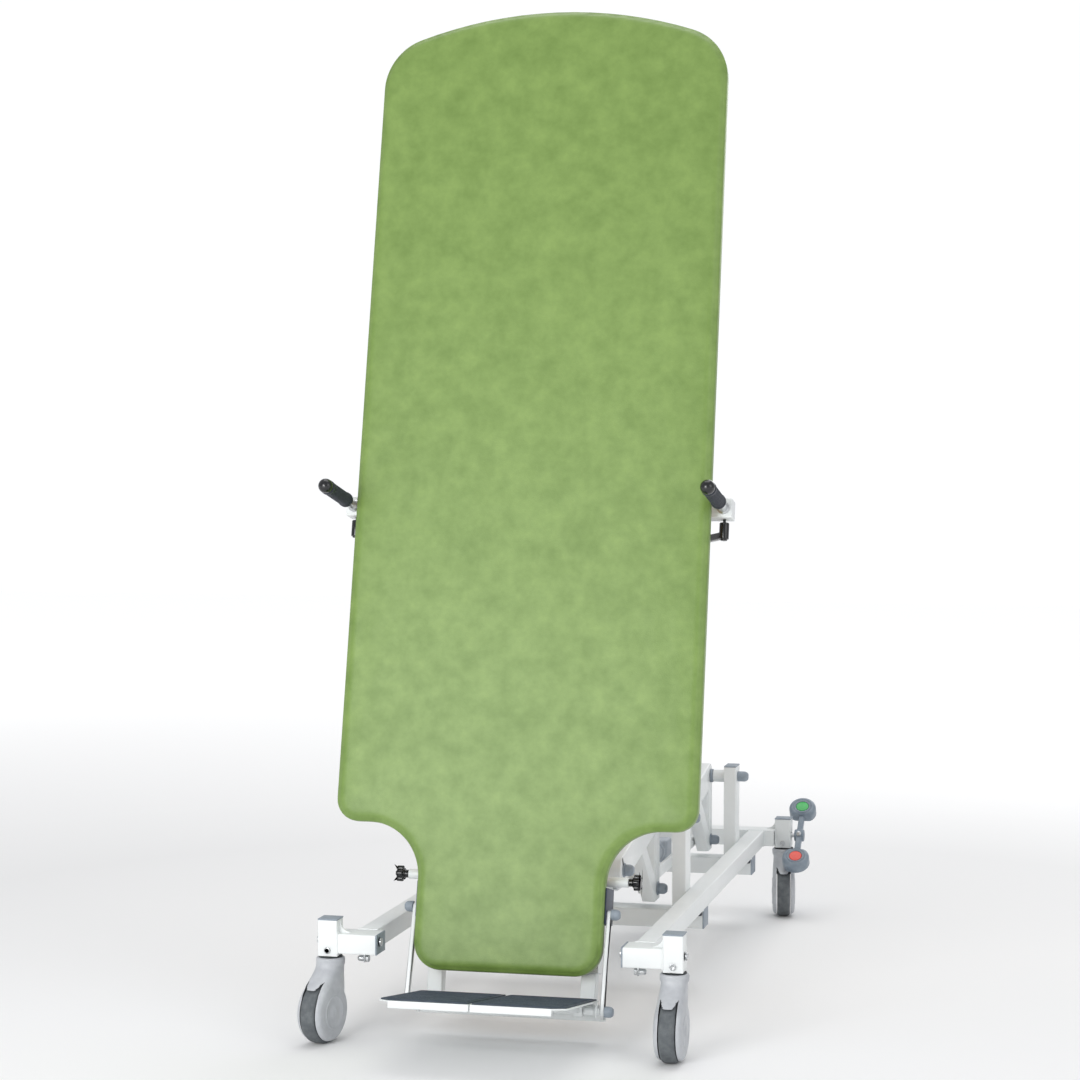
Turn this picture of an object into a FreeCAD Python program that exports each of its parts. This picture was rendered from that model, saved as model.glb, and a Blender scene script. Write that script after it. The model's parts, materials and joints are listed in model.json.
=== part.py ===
"""Powered tilt table: a stretcher trolley whose top stands nearly upright on a castored base.

Row frame: +X to the table's right side as seen from its foot end, +Y towards the head end,
+Z up, floor at Z = 0, origin under the centre of the whole object's box. Millimetres.
"""
import FreeCAD
import Part
import math
import os

V = FreeCAD.Vector
X_AXIS = V(1, 0, 0)
Y_AXIS = V(0, 1, 0)
Z_AXIS = V(0, 0, 1)
SIDES = (-1, 1)

# ---------------------------------------------------------------- driving dimensions
BASE_Y = 68.05             # centre of the wheelbase, ahead of the origin
WHEEL_R = 62.5             # 125 mm castors
TRACK_X = 349.0            # castor stems, half track
WHEELBASE_Y = 782.0        # castor stems, half wheelbase
POST_SIDE = 40.0           # square tube of the castor posts and side rails
POST_Z0 = 170.0
POST_TOP = 242.0
RAIL_X = 284.0             # centre line of a side rail
RAIL_Z0 = 176.0
CROSS_W = 60.0             # 60 x 40 tube of every cross member
CROSS_H = 40.0
WALL = 2.5                 # tube wall
CAP_T = 3.0                # plastic tube caps

FRONT_POST_Y = -145.0      # lift posts, measured from the base centre
REAR_POST_Y = 565.0
LIFT_POST_X = 249.0
LIFT_POST_W = 30.0
LIFT_POST_TOP = 400.0
PIVOT_Z = 375.0            # lift arm pivots on the posts
ARM_Y = -377.0             # from post pivot to arm end pivot, lowered
ARM_Z = -57.0
CRANK_Z = -159.0           # from post pivot down to the crank pivot
ARM_X = 181.0              # centre plane of a lift arm
ARM_T = 30.0
ARM_W = 60.0
LIFT_TRAVEL = 68.0         # degrees

TILT_ANGLE = 77.0          # top against the floor, as stored
TILT_UP = 8.0              # further travel towards upright
FOOT_Y = -752.0            # front foot edge of the pad, from the base centre
FOOT_Z = 144.0
AXIS_U = 338.0             # tilt axis: along the top from its foot edge
AXIS_N = -80.0             # and below the pad's surface

PAD_LENGTH = 2025.0
PAD_HALF = 373.0
FOOT_HALF = 192.0
SHOULDER_U = 291.0
PAD_T = 45.0
BOARD_T = 14.7
SOFT_GAP = 0.3
TOP_TUBE_X = 158.0         # centre line of the tilting side tubes
TOP_TUBE = 40.0
TOP_TUBE_END = 1900.0

SHAFT_U = -66.0            # footplate shaft
SHAFT_N = -17.0
SHAFT_R = 8.0
FOOT_TRAVEL = 45.0
PLATE_SLOPE = 9.1          # rise of each footplate towards its front edge, degrees
PLATE_DEPTH = 310.0
PLATE_BEHIND = 36.0        # plate behind its hinge
PLATE_HALF = 185.0
PLATE_FOLD = 50.0

GRIP_U = 955.0
GRIP_X = 393.0
GRIP_TRAVEL = 60.0
KNOB_U = 191.0
BRAKE_Z = 200.0
BRAKE_TRAVEL = 60.0
BRAKE_LEVER = 13.0
SWIVELS = {"front_left": -13.0, "front_right": 0.0, "rear_left": 5.0, "rear_right": 8.0}
TRAIL = 32.0
RUN_FIT = 0.05             # radial clearance of every pin in its hole

RAIL_TOP = RAIL_Z0 + POST_SIDE
POST_IN = TRACK_X - POST_SIDE / 2
LOWER_Z0 = RAIL_Z0 - CROSS_H
FRONT_END_Y = -WHEELBASE_Y - POST_SIDE / 2
REAR_END_Y = WHEELBASE_Y + POST_SIDE / 2
ARM_END_Z = PIVOT_Z + ARM_Z


# ---------------------------------------------------------------- shape helpers
def box(x0, x1, y0, y1, z0, z1):
    """Solid block between two corners given in any order."""
    low = V(min(x0, x1), min(y0, y1), min(z0, z1))
    size = V(abs(x1 - x0), abs(y1 - y0), abs(z1 - z0))
    return Part.makeBox(size.x, size.y, size.z, low)


def tube(x0, x1, y0, y1, z0, z1, along, wall=WALL):
    """Rectangular hollow section, open at both ends along one axis."""
    grow = {a: (0.0 if a == along else wall) for a in "xyz"}
    x0, x1 = sorted((x0, x1))
    outer = box(x0, x1, y0, y1, z0, z1)
    inner = box(x0 + grow["x"], x1 - grow["x"], y0 + grow["y"], y1 - grow["y"],
                z0 + grow["z"], z1 - grow["z"])
    return outer.cut(inner)


def rod(start, axis, radius, length):
    """Round bar from a point along an axis."""
    return Part.makeCylinder(radius, length, start, axis)


def x_rod(side, x0, x1, y, z, radius):
    """Round bar across the table, between two distances from the centre plane."""
    return rod(V(side * x0, y, z), V(side * (1 if x1 > x0 else -1), 0, 0), radius, abs(x1 - x0))


def dome(side, x0, x1, y, z, radius):
    """Domed nut cap on a cross axis: a short barrel whose outer end narrows in steps of a round."""
    angles = [math.radians(a) for a in (0, 18, 36, 54)]
    steps = [(x1 + radius * math.sin(a), radius * math.cos(a)) for a in angles]
    profile = [(x0, 0.0), (x0, radius)] + steps + [(steps[-1][0], 0.0)]
    points = [V(side * x, y, z + r) for x, r in profile]
    face = Part.Face(Part.makePolygon(points + points[:1]))
    return face.revolve(V(0, y, z), X_AXIS, 360)


def hexagon(start, axis, flats, length):
    """Hexagonal bar or nut along a row axis."""
    turn = FreeCAD.Rotation(Z_AXIS, axis)
    radius = flats / math.sqrt(3)
    corners = [math.radians(a) for a in range(0, 360, 60)]
    points = [start + turn.multVec(V(radius * math.cos(a), radius * math.sin(a), 0)) for a in corners]
    face = Part.Face(Part.makePolygon(points + points[:1]))
    return face.extrude(axis * length)


def prism(points, x0, x1):
    """Extrude a closed (y, z) outline across the table."""
    face = Part.Face(Part.makePolygon([V(x0, y, z) for y, z in points + points[:1]]))
    return face.extrude(V(x1 - x0, 0, 0))


def slot_plate(y0, z0, y1, z1, radius, x0, x1):
    """Plate with two round ends, from one centre to another."""
    dy, dz = y1 - y0, z1 - z0
    length = math.hypot(dy, dz)
    ny, nz = -dz / length * radius, dy / length * radius
    bar = prism([(y0 + ny, z0 + nz), (y1 + ny, z1 + nz), (y1 - ny, z1 - nz), (y0 - ny, z0 - nz)], x0, x1)
    ends = [rod(V(min(x0, x1), y, z), X_AXIS, radius, abs(x1 - x0)) for y, z in ((y0, z0), (y1, z1))]
    return bar.fuse(ends).removeSplitter()


def fuse(shapes):
    """One solid from overlapping or touching shapes."""
    return shapes[0].fuse(shapes[1:]).removeSplitter() if len(shapes) > 1 else shapes[0]


def biggest(shape):
    """The largest solid left by a cut, as a list of one."""
    return [max(shape.Solids, key=lambda solid: solid.Volume)]


def mirror_x(shape):
    """The shape's image on the other side of the table."""
    return shape.mirror(V(0, 0, 0), X_AXIS)


def both(shape):
    """A right-hand piece and its mirror image."""
    return [shape, mirror_x(shape)]


def tilted(shape):
    """Carry a piece drawn on the flat top (X, U along, N up) to the stored tilt."""
    out = shape.copy()
    out.rotate(V(0, 0, 0), X_AXIS, TILT_ANGLE)
    out.translate(V(0, FOOT_Y, FOOT_Z))
    return out


def tilted_point(u, n):
    """Y and Z, from the base centre, of a point on the flat top."""
    c, s = math.cos(math.radians(TILT_ANGLE)), math.sin(math.radians(TILT_ANGLE))
    return FOOT_Y + u * c - n * s, FOOT_Z + u * s + n * c


def turned(point, centre, degrees):
    """A (y, z) point turned about X through a centre."""
    c, s = math.cos(math.radians(degrees)), math.sin(math.radians(degrees))
    dy, dz = point[0] - centre[0], point[1] - centre[1]
    return centre[0] + dy * c - dz * s, centre[1] + dy * s + dz * c


TILT_AXIS = tilted_point(AXIS_U, AXIS_N)
SHAFT = tilted_point(SHAFT_U, SHAFT_N)


# ---------------------------------------------------------------- base frame
def side_rails():
    """Two long 40 x 40 tubes between the end members."""
    y0, y1 = FRONT_END_Y + CROSS_W, REAR_END_Y - CROSS_W
    x0, x1 = RAIL_X - POST_SIDE / 2, RAIL_X + POST_SIDE / 2
    return both(tube(x0, x1, y0, y1, RAIL_Z0, RAIL_TOP, "y"))


LINK_WINDOW = (RAIL_X - 7, RAIL_X + 7, RAIL_Z0 + 4, RAIL_Z0 + 28)


def link_window(y):
    """Opening in an end member where a brake link passes into the rail."""
    x0, x1, z0, z1 = LINK_WINDOW
    return box(x0, x1, y - 6, y + 6, z0, z1)


def brake_hole(y):
    return rod(V(0, y, BRAKE_Z), X_AXIS, 9.0, TRACK_X + POST_SIDE)


def foot_corner_tubes():
    """Short 60 x 40 stubs from each front castor post inboard to the rail's front end."""
    stub = tube(250.0, POST_IN, FRONT_END_Y, FRONT_END_Y + CROSS_W, RAIL_Z0, RAIL_TOP, "x")
    return both(stub.cut(link_window(FRONT_END_Y + CROSS_W)))


def head_cross_tube():
    """Full-width 60 x 40 tube between the rear castor posts."""
    cross = tube(-POST_IN, POST_IN, REAR_END_Y - CROSS_W, REAR_END_Y, RAIL_Z0, RAIL_TOP, "x")
    window = link_window(REAR_END_Y - CROSS_W)
    return [cross.cut(window).cut(mirror_x(window))]


def lower_cross_tubes():
    """60 x 40 tubes under the rails that carry the lift posts."""
    reach = RAIL_X + POST_SIDE / 2 - CAP_T
    return [tube(-reach, reach, y - CROSS_W / 2, y + CROSS_W / 2, LOWER_Z0, RAIL_Z0, "x")
            for y in (FRONT_POST_Y, REAR_POST_Y)]


def castor_posts():
    """Upright 40 x 40 tubes over the castors, bored for the brake shafts."""
    posts = []
    for y in (-WHEELBASE_Y, WHEELBASE_Y):
        post = tube(POST_IN, POST_IN + POST_SIDE, y - 20, y + 20, POST_Z0, POST_TOP, "z")
        posts += both(post.cut(brake_hole(y)))
    return posts


def corner_gussets():
    """Small curved webs where each post rises from its cross member."""
    size, thick = 22.0, 6.0
    webs = []
    for y in (-WHEELBASE_Y, WHEELBASE_Y):
        blank = box(POST_IN - size, POST_IN, y - thick / 2, y + thick / 2, RAIL_TOP, RAIL_TOP + size)
        hollow = rod(V(POST_IN - size, y - thick, RAIL_TOP + size), Y_AXIS, size - 1.5, thick * 2)
        webs += both(blank.cut(hollow))
    return webs


def lift_posts():
    """Four 30 x 60 posts with the bosses that carry the lift arm pivots."""
    posts = []
    x0, x1 = LIFT_POST_X - LIFT_POST_W / 2, LIFT_POST_X + LIFT_POST_W / 2
    for y in (FRONT_POST_Y, REAR_POST_Y):
        post = tube(x0, x1, y - CROSS_W / 2, y + CROSS_W / 2, RAIL_Z0, LIFT_POST_TOP, "z")
        boss = x_rod(1, x0, ARM_X + ARM_T / 2 + 7, y, PIVOT_Z, 15.0)
        bore = x_rod(1, ARM_X, x1 + 5, y, PIVOT_Z, 6.0)
        posts += both(post.fuse(boss).cut(bore).removeSplitter())
    return posts


def frame_end_caps():
    """Grey plastic caps on every open tube end of the base."""
    caps = []
    half = POST_SIDE / 2 + 0.8
    for y in (-WHEELBASE_Y, WHEELBASE_Y):
        caps += both(box(TRACK_X - half, TRACK_X + half, y - half, y + half, POST_TOP, POST_TOP + CAP_T))
    for y in (FRONT_POST_Y, REAR_POST_Y):
        x0, x1 = LIFT_POST_X - LIFT_POST_W / 2, LIFT_POST_X + LIFT_POST_W / 2
        caps += both(box(x0, x1, y - CROSS_W / 2, y + CROSS_W / 2, LIFT_POST_TOP, LIFT_POST_TOP + CAP_T))
        x_end = RAIL_X + POST_SIDE / 2
        caps += both(box(x_end - CAP_T, x_end, y - CROSS_W / 2, y + CROSS_W / 2, LOWER_Z0, RAIL_Z0))
    stub = box(250.0 - CAP_T, 250.0, FRONT_END_Y, FRONT_END_Y + CROSS_W, RAIL_Z0, RAIL_TOP)
    caps += both(stub.cut(brake_hole(-WHEELBASE_Y)))
    return caps


def rail_bumpers():
    """Black rubber buttons under the rails beside each lower cross tube."""
    buttons = []
    for y in (FRONT_POST_Y, REAR_POST_Y):
        buttons += both(rod(V(RAIL_X + 10, y - CROSS_W / 2 - 10, RAIL_Z0 - 9), Z_AXIS, 8.0, 9.0))
    return buttons


def lift_pivot_pins():
    """Bolts through the lift posts, with black bushes inboard and domed caps outboard."""
    pins = []
    x_in = ARM_X + ARM_T / 2
    x_out = LIFT_POST_X + LIFT_POST_W / 2
    for y in (FRONT_POST_Y, REAR_POST_Y):
        pins += both(x_rod(1, ARM_X - ARM_T / 2 - 4, x_out, y, PIVOT_Z, 6.0 - RUN_FIT)
                     .fuse(dome(1, x_out, x_out + 16, y, PIVOT_Z, 12.5)).removeSplitter())
        bush = x_rod(1, x_in + 0.5, x_in + 7, y, PIVOT_Z, 16.5)
        pins += both(bush.cut(x_rod(1, x_in, x_in + 8, y, PIVOT_Z, 6.0)))
    return pins


def castor_stem_bolts():
    """Clamp bolts with crossed heads, and the pinch tabs under the front corners."""
    bolts = []
    for y in (-WHEELBASE_Y, WHEELBASE_Y):
        head = rod(V(TRACK_X, y - 20, POST_Z0 + 12), V(0, -1, 0), 6.5, 4.0)
        cross = box(TRACK_X - 4, TRACK_X + 4, y - 25, y - 22.5, POST_Z0 + 11, POST_Z0 + 13)
        upright = box(TRACK_X - 1, TRACK_X + 1, y - 25, y - 22.5, POST_Z0 + 8, POST_Z0 + 16)
        bolts += both(head.cut(cross.fuse(upright)))
    y = FRONT_END_Y + 24
    tab = box(276, 279, y - 8, y + 8, RAIL_Z0 - 18, RAIL_Z0)
    nut = hexagon(V(276, y, RAIL_Z0 - 11), V(-1, 0, 0), 13.0, 7.0)
    cap = dome(1, 279, 288, y, RAIL_Z0 - 11, 6.0)
    bolts += both(fuse([tab, nut, cap]))
    return bolts


def control_box():
    """Control unit on the rear lower cross tube, with its recessed mains inlet."""
    z0 = RAIL_Z0
    body = box(-140, -10, 545, 665, z0, z0 + 62)
    body = body.makeFillet(6.0, [e for e in body.Edges if abs(e.tangentAt(0).z) > 0.9])
    inlet = box(-112, -82, 650, 666, z0 + 18, z0 + 40)
    tongue = box(-105, -89, 650, 661, z0 + 26, z0 + 32)
    return [body.cut(inlet).fuse(tongue).removeSplitter()]


# ---------------------------------------------------------------- lift linkage
def bell_crank(y):
    """One bell crank: long arm, crank leg and diagonal brace, bored at its three pivots."""
    x0, x1 = ARM_X - ARM_T / 2, ARM_X + ARM_T / 2
    half = ARM_W / 2
    arm = slot_plate(y, PIVOT_Z, y + ARM_Y, ARM_END_Z, half, x0, x1)
    leg = box(x0, x1, y - half + 4, y + half - 4, PIVOT_Z + CRANK_Z - 26, PIVOT_Z)
    foot = (y - 6, PIVOT_Z + CRANK_Z - 10)
    top = (y + ARM_Y * 0.47, PIVOT_Z + ARM_Z * 0.47 - 8)
    width = 15.0
    brace = prism([(foot[0] - 20, foot[1] - 14), (foot[0] + 12, foot[1] + 14),
                   (top[0] + width + 20, top[1]), (top[0] - width - 6, top[1])], x0, x1)
    crank = fuse([arm, leg, brace])
    crank = crank.cut(x_rod(1, x0 - 1, x1 + 1, y, PIVOT_Z, 6.0))
    crank = crank.cut(x_rod(1, x0 - 1, x1 + 1, y + ARM_Y, ARM_END_Z, 6.0))
    return crank.cut(x_rod(1, x0 - 1, x1 + 1, y, PIVOT_Z + CRANK_Z, 6.0))


LIFT_LUG_Y = 40.0          # actuator pin behind the crank pivot line
LIFT_ACT_X = 85.0
LUG_T = 12.0
PIN_R = 6.0
CROSS_BACK = (-42.0, 29.0)  # front cross tube from the crank pivot, y and z
TIE_X = 158.0
LEG_X0, LEG_X1 = 132.0, 162.0
CRANK_PIVOT_Z = PIVOT_Z + CRANK_Z


def front_lift_arms():
    """Front bell cranks, their cross tube and the lug the lift actuator pushes on."""
    y, z = FRONT_POST_Y + CROSS_BACK[0], CRANK_PIVOT_Z + CROSS_BACK[1]
    reach = ARM_X - ARM_T / 2
    cross = tube(-reach, reach, y - 17, y + 17, z - 17, z + 17, "x")
    pin_y = FRONT_POST_Y + LIFT_LUG_Y
    lug = slot_plate(y, z, pin_y, CRANK_PIVOT_Z, 16.0, LIFT_ACT_X - LUG_T / 2, LIFT_ACT_X + LUG_T / 2)
    lug = lug.cut(box(0, 200, y - 17, y + 17, z - 17, z + 17))
    lug = lug.cut(x_rod(1, 0, 200, pin_y, CRANK_PIVOT_Z, PIN_R))
    return both(bell_crank(FRONT_POST_Y)) + [cross] + biggest(lug)


def rear_lift_arms():
    """Rear bell cranks, joined by a round tube half way along the arms."""
    y = REAR_POST_Y + ARM_Y * 0.53
    z = PIVOT_Z + ARM_Z * 0.53
    reach = ARM_X - ARM_T / 2
    start = V(-reach, y, z)
    cross = rod(start, X_AXIS, 18.0, 2 * reach).cut(rod(start, X_AXIS, 15.5, 2 * reach))
    return both(bell_crank(REAR_POST_Y)) + [cross]


def arm_fittings(y):
    """Pins, domed caps and black washers at the arm-end and crank pivots."""
    x1 = ARM_X + ARM_T / 2
    parts = []
    for py, pz, x_in in ((y + ARM_Y, ARM_END_Z, LEG_X0 - 4), (y, CRANK_PIVOT_Z, TIE_X - 8)):
        washer = x_rod(1, x1, x1 + 3, py, pz, 15.0).cut(x_rod(1, x1, x1 + 3, py, pz, PIN_R))
        pin = x_rod(1, x_in, x1 + 3, py, pz, PIN_R - RUN_FIT)
        cap = dome(1, x1 + 3, x1 + 12, py, pz, 12.0)
        parts += both(washer) + both(fuse([pin, cap]))
    return parts


def tie_bars():
    """Flat bars that keep front and rear cranks in step, inboard of the cranks."""
    z = CRANK_PIVOT_Z
    bar = slot_plate(FRONT_POST_Y, z, REAR_POST_Y, z, 13.0, TIE_X - 4, TIE_X + 4)
    for y, radius in ((FRONT_POST_Y, PIN_R), (REAR_POST_Y, PIN_R + 0.5)):
        bar = bar.cut(x_rod(1, TIE_X - 9, TIE_X + 9, y, z, radius))
    return both(bar)


# ---------------------------------------------------------------- actuators
ACT_TUBE_R = 22.0
ACT_ROD_R = 12.0
ACT_HOUSING = 90.0         # gearbox length from the tail pin
EYE_R = 16.0
EAR_T = 8.0
FORK_DEPTH = 30.0
LIFT_TAIL = (500.0, 205.0)
LIFT_PIN = (FRONT_POST_Y + LIFT_LUG_Y, PIVOT_Z + CRANK_Z)
TILT_TAIL = (250.0, 352.0)
TILT_LUG = (269.5, -166.0)
TILT_PIN = tilted_point(*TILT_LUG)


def actuator(tail, pin, x_mid, tube_length, retract, motor_side, motor_length):
    """Electric spindle actuator from its tail pin to its rod fork, as (body, rod) solids.

    The rod can still slide in by `retract` before it meets the gearbox.
    """
    length = math.hypot(pin[0] - tail[0], pin[1] - tail[1])
    eye = slot_plate(0, 0, 40, 0, EYE_R, -LUG_T / 2, LUG_T / 2).cut(x_rod(1, -20, 20, 0, 0, PIN_R))
    gearbox = box(-30, 30, 24, ACT_HOUSING, -27, 27)
    gearbox = gearbox.makeFillet(6.0, gearbox.Edges)
    outer = rod(V(0, ACT_HOUSING - 2, 0), Y_AXIS, ACT_TUBE_R, tube_length - ACT_HOUSING + 2)
    bore = rod(V(0, ACT_HOUSING + 8, 0), Y_AXIS, ACT_ROD_R + RUN_FIT, tube_length)
    motor_x = motor_side * 46.0
    motor = rod(V(motor_x, 34, 0), Y_AXIS, 21.0, motor_length)
    bridge = box(min(0, motor_x), max(0, motor_x), 36, 74, -19, 19)
    body = fuse([eye, gearbox, outer, motor, bridge]).cut(bore)
    start = ACT_HOUSING + 12 + retract
    shaft = rod(V(0, start, 0), Y_AXIS, ACT_ROD_R, length - FORK_DEPTH - start)
    reach = LUG_T / 2 + EAR_T + 0.5
    ears = slot_plate(length, 0, length - FORK_DEPTH - 14, 0, EYE_R, -reach, reach)
    gap = box(-LUG_T / 2 - 0.5, LUG_T / 2 + 0.5, length - FORK_DEPTH, length + 40, -30, 30)
    heads = [x_rod(s, LUG_T / 2 + EAR_T, LUG_T / 2 + EAR_T + 7, length, 0, 9.0) for s in SIDES]
    piston = fuse([shaft, ears.cut(gap)] + heads)
    out = []
    for solid in (body, piston):
        angle = math.degrees(math.atan2(pin[1] - tail[1], pin[0] - tail[0]))
        solid.rotate(V(0, 0, 0), X_AXIS, angle)
        solid.translate(V(x_mid, tail[0], tail[1]))
        out.append(solid)
    return out


def tail_bracket(tail, x_mid, plate_y, plate_z):
    """Clevis of two ears on a base plate, with its pin, for an actuator's tail eye."""
    parts = []
    for side in SIDES:
        x0 = x_mid + side * (LUG_T / 2 + 0.5)
        x1 = x0 + side * EAR_T
        ear = slot_plate(tail[0], tail[1], plate_y, plate_z, EYE_R, min(x0, x1), max(x0, x1))
        parts.append(ear)
    reach = LUG_T / 2 + EAR_T
    parts.append(rod(V(x_mid - reach - 5, tail[0], tail[1]), X_AXIS, PIN_R - RUN_FIT, 2 * reach + 10))
    return fuse(parts)


def lift_actuator():
    """Lift actuator between the rear lower cross tube and the front cranks."""
    return actuator(LIFT_TAIL, LIFT_PIN, LIFT_ACT_X, 420.0, 0.0, -1, 260.0)


def tilt_actuator():
    """Tilt actuator between the upper frame and the tilting frame."""
    return actuator(TILT_TAIL, TILT_PIN, 0.0, 600.0, 22.0, 1, 150.0)


def coupling_ratios():
    """Follower units per radian (or per degree) of each driving joint, exact at rest and at one limit."""
    lift = math.radians(LIFT_TRAVEL)
    moved = turned(LIFT_PIN, (FRONT_POST_Y, PIVOT_Z), -LIFT_TRAVEL)
    lift_swing, lift_slide = swing_and_slide(LIFT_TAIL, LIFT_PIN, moved)
    tilt = math.radians(-TILT_ANGLE)
    moved = turned(TILT_PIN, TILT_AXIS, -TILT_ANGLE)
    tilt_swing, tilt_slide = swing_and_slide(TILT_TAIL, TILT_PIN, moved)
    return {"lift_swing": lift_swing / lift, "lift_slide": lift_slide / lift,
            "tilt_swing": tilt_swing / tilt, "tilt_slide": tilt_slide / tilt}


def swing_and_slide(tail, pin, moved):
    """Turn of the actuator about +X (radians) and its extension (metres) from one pin place to another."""
    angle = math.atan2(pin[1] - tail[1], pin[0] - tail[0])
    later = math.atan2(moved[1] - tail[1], moved[0] - tail[0])
    length = math.hypot(pin[0] - tail[0], pin[1] - tail[1])
    longer = math.hypot(moved[0] - tail[0], moved[1] - tail[1])
    turn = (later - angle + math.pi) % (2 * math.pi) - math.pi
    return turn, (longer - length) / 1000


# ---------------------------------------------------------------- upper frame
UPPER_Z0, UPPER_Z1 = 395.0, 432.0
UPPER_FRONT, UPPER_REAR = -570.0, 330.0
EAR_X0, EAR_X1 = 124.0, 132.0
TILT_PIN_R = 9.0


def upper_frame_tubes():
    """Upper lift frame: two side tubes, two cross tubes and the four legs on the arm ends."""
    tubes = both(tube(LEG_X0, LEG_X1, UPPER_FRONT, UPPER_REAR, UPPER_Z0, UPPER_Z1, "y"))
    for y0, y1 in ((-430, -400), (UPPER_REAR - 40, UPPER_REAR - 10)):
        tubes.append(tube(-LEG_X0, LEG_X0, y0, y1, UPPER_Z0, UPPER_Z1, "x"))
    for y, bore in ((FRONT_POST_Y + ARM_Y, PIN_R), (REAR_POST_Y + ARM_Y, PIN_R + 0.5)):
        leg = box(LEG_X0, LEG_X1, y - 22, y + 22, ARM_END_Z - 20, UPPER_Z0)
        hollow = box(LEG_X0 + WALL, LEG_X1 - WALL, y - 22 + WALL, y + 22 - WALL, ARM_END_Z - 20, UPPER_Z0)
        tubes += both(leg.cut(hollow).cut(x_rod(1, LEG_X0 - 1, LEG_X1 + 1, y, ARM_END_Z, bore)))
    return tubes


def tilt_ears():
    """Ear plates at the upper frame's front end, with the fixed pins of the tilt axis."""
    y, z = TILT_AXIS
    ear = prism([(UPPER_FRONT + 60, UPPER_Z0), (UPPER_FRONT + 60, UPPER_Z1), (y + 10, z + 14),
                 (y - 15, z - 7), (UPPER_FRONT - 4, UPPER_Z0)], EAR_X0, EAR_X1)
    ear = ear.fuse(x_rod(1, EAR_X0, EAR_X1, y, z, 17.0)).removeSplitter()
    pin = x_rod(1, EAR_X0 - 6, TOP_TUBE_X + TOP_TUBE / 2 + 1, y, z, TILT_PIN_R - RUN_FIT)
    cap = dome(1, TOP_TUBE_X + TOP_TUBE / 2 + 1, TOP_TUBE_X + TOP_TUBE / 2 + 10, y, z, 13.0)
    pin = fuse([pin, cap])
    return both(ear.cut(pin)) + both(pin)


def upper_frame_fittings():
    """Actuator clevis and tube caps of the upper frame."""
    y = TILT_TAIL[0]
    bracket = tail_bracket(TILT_TAIL, 0.0, UPPER_REAR - 30, UPPER_Z0 - 22)
    plate = box(-28, 28, y + 24, UPPER_REAR - 10, UPPER_Z0 - 6, UPPER_Z0)
    caps = both(box(LEG_X0, LEG_X1, UPPER_REAR, UPPER_REAR + CAP_T, UPPER_Z0, UPPER_Z1))
    return [fuse([bracket, plate])] + caps


def lift_tail_bracket():
    """Clevis on the rear lower cross tube for the lift actuator."""
    y = REAR_POST_Y - CROSS_W / 2
    bracket = tail_bracket(LIFT_TAIL, LIFT_ACT_X, y + 14, RAIL_Z0 + 18)
    plate = box(LIFT_ACT_X - 28, LIFT_ACT_X + 28, y, y + 36, RAIL_Z0, RAIL_Z0 + 6)
    keep = box(0, 200, 400, 700, RAIL_Z0, 300)
    return [fuse([bracket, plate]).common(keep)]


# ---------------------------------------------------------------- tilting top
def outline(inset, n0, n1):
    """Solid with the top's outline, drawn in by an inset, between two heights of the flat top."""
    side, foot = PAD_HALF - inset, FOOT_HALF - inset
    foot_r, neck_r, shoulder_r = 55.0 - inset, 110.0 + inset, 45.0 - inset
    corner_r, crown_r = 115.0 - inset, 890.0 - inset
    top, shoulder = PAD_LENGTH - inset, SHOULDER_U + inset
    neck = V(foot + neck_r, shoulder - neck_r, n0)
    corner_x = side - corner_r
    crown_u = top - crown_r
    rise = math.sqrt((crown_r - corner_r) ** 2 - corner_x ** 2)
    corner = V(corner_x, crown_u + rise, n0)
    tangent = V(corner_x, rise, 0).normalize() * crown_r + V(0, crown_u, n0)

    def arc(centre, radius, a0, a1):
        """Arc about a centre between two angles in degrees."""
        points = [centre + V(radius * math.cos(math.radians(a)), radius * math.sin(math.radians(a)), 0)
                  for a in (a0, (a0 + a1) / 2, a1)]
        return Part.Arc(*points).toShape(), points[0], points[2]

    end_angle = math.degrees(math.atan2(rise, corner_x))
    pieces = [arc(V(foot - foot_r, inset + foot_r, n0), foot_r, -90, 0), arc(neck, neck_r, 180, 90),
              arc(V(side - shoulder_r, shoulder + shoulder_r, n0), shoulder_r, -90, 0),
              arc(corner, corner_r, 0, end_angle)]
    right = []
    last = V(0, inset, n0)
    for edge, start, end in pieces:
        right += [Part.makeLine(last, start), edge]
        last = end
    crown = Part.Arc(tangent, V(0, top, n0), V(-tangent.x, tangent.y, n0)).toShape()
    left = [edge.mirror(V(0, 0, 0), X_AXIS) for edge in right]
    wire = Part.Wire(Part.__sortEdges__(right + [crown] + left))
    return Part.Face(wire).extrude(V(0, 0, n1 - n0))


BOARD_N1 = -PAD_T - SOFT_GAP
BOARD_N0 = BOARD_N1 - BOARD_T
TUBE_N1 = AXIS_N + TOP_TUBE / 2
TUBE_N0 = AXIS_N - TOP_TUBE / 2


def pad():
    """Upholstered foam, one soft piece with the waisted foot part."""
    return [tilted(outline(0.0, -PAD_T, 0.0))]


def base_board():
    """Plywood board under the upholstery."""
    return [tilted(outline(5.0, BOARD_N0, BOARD_N1))]


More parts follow.
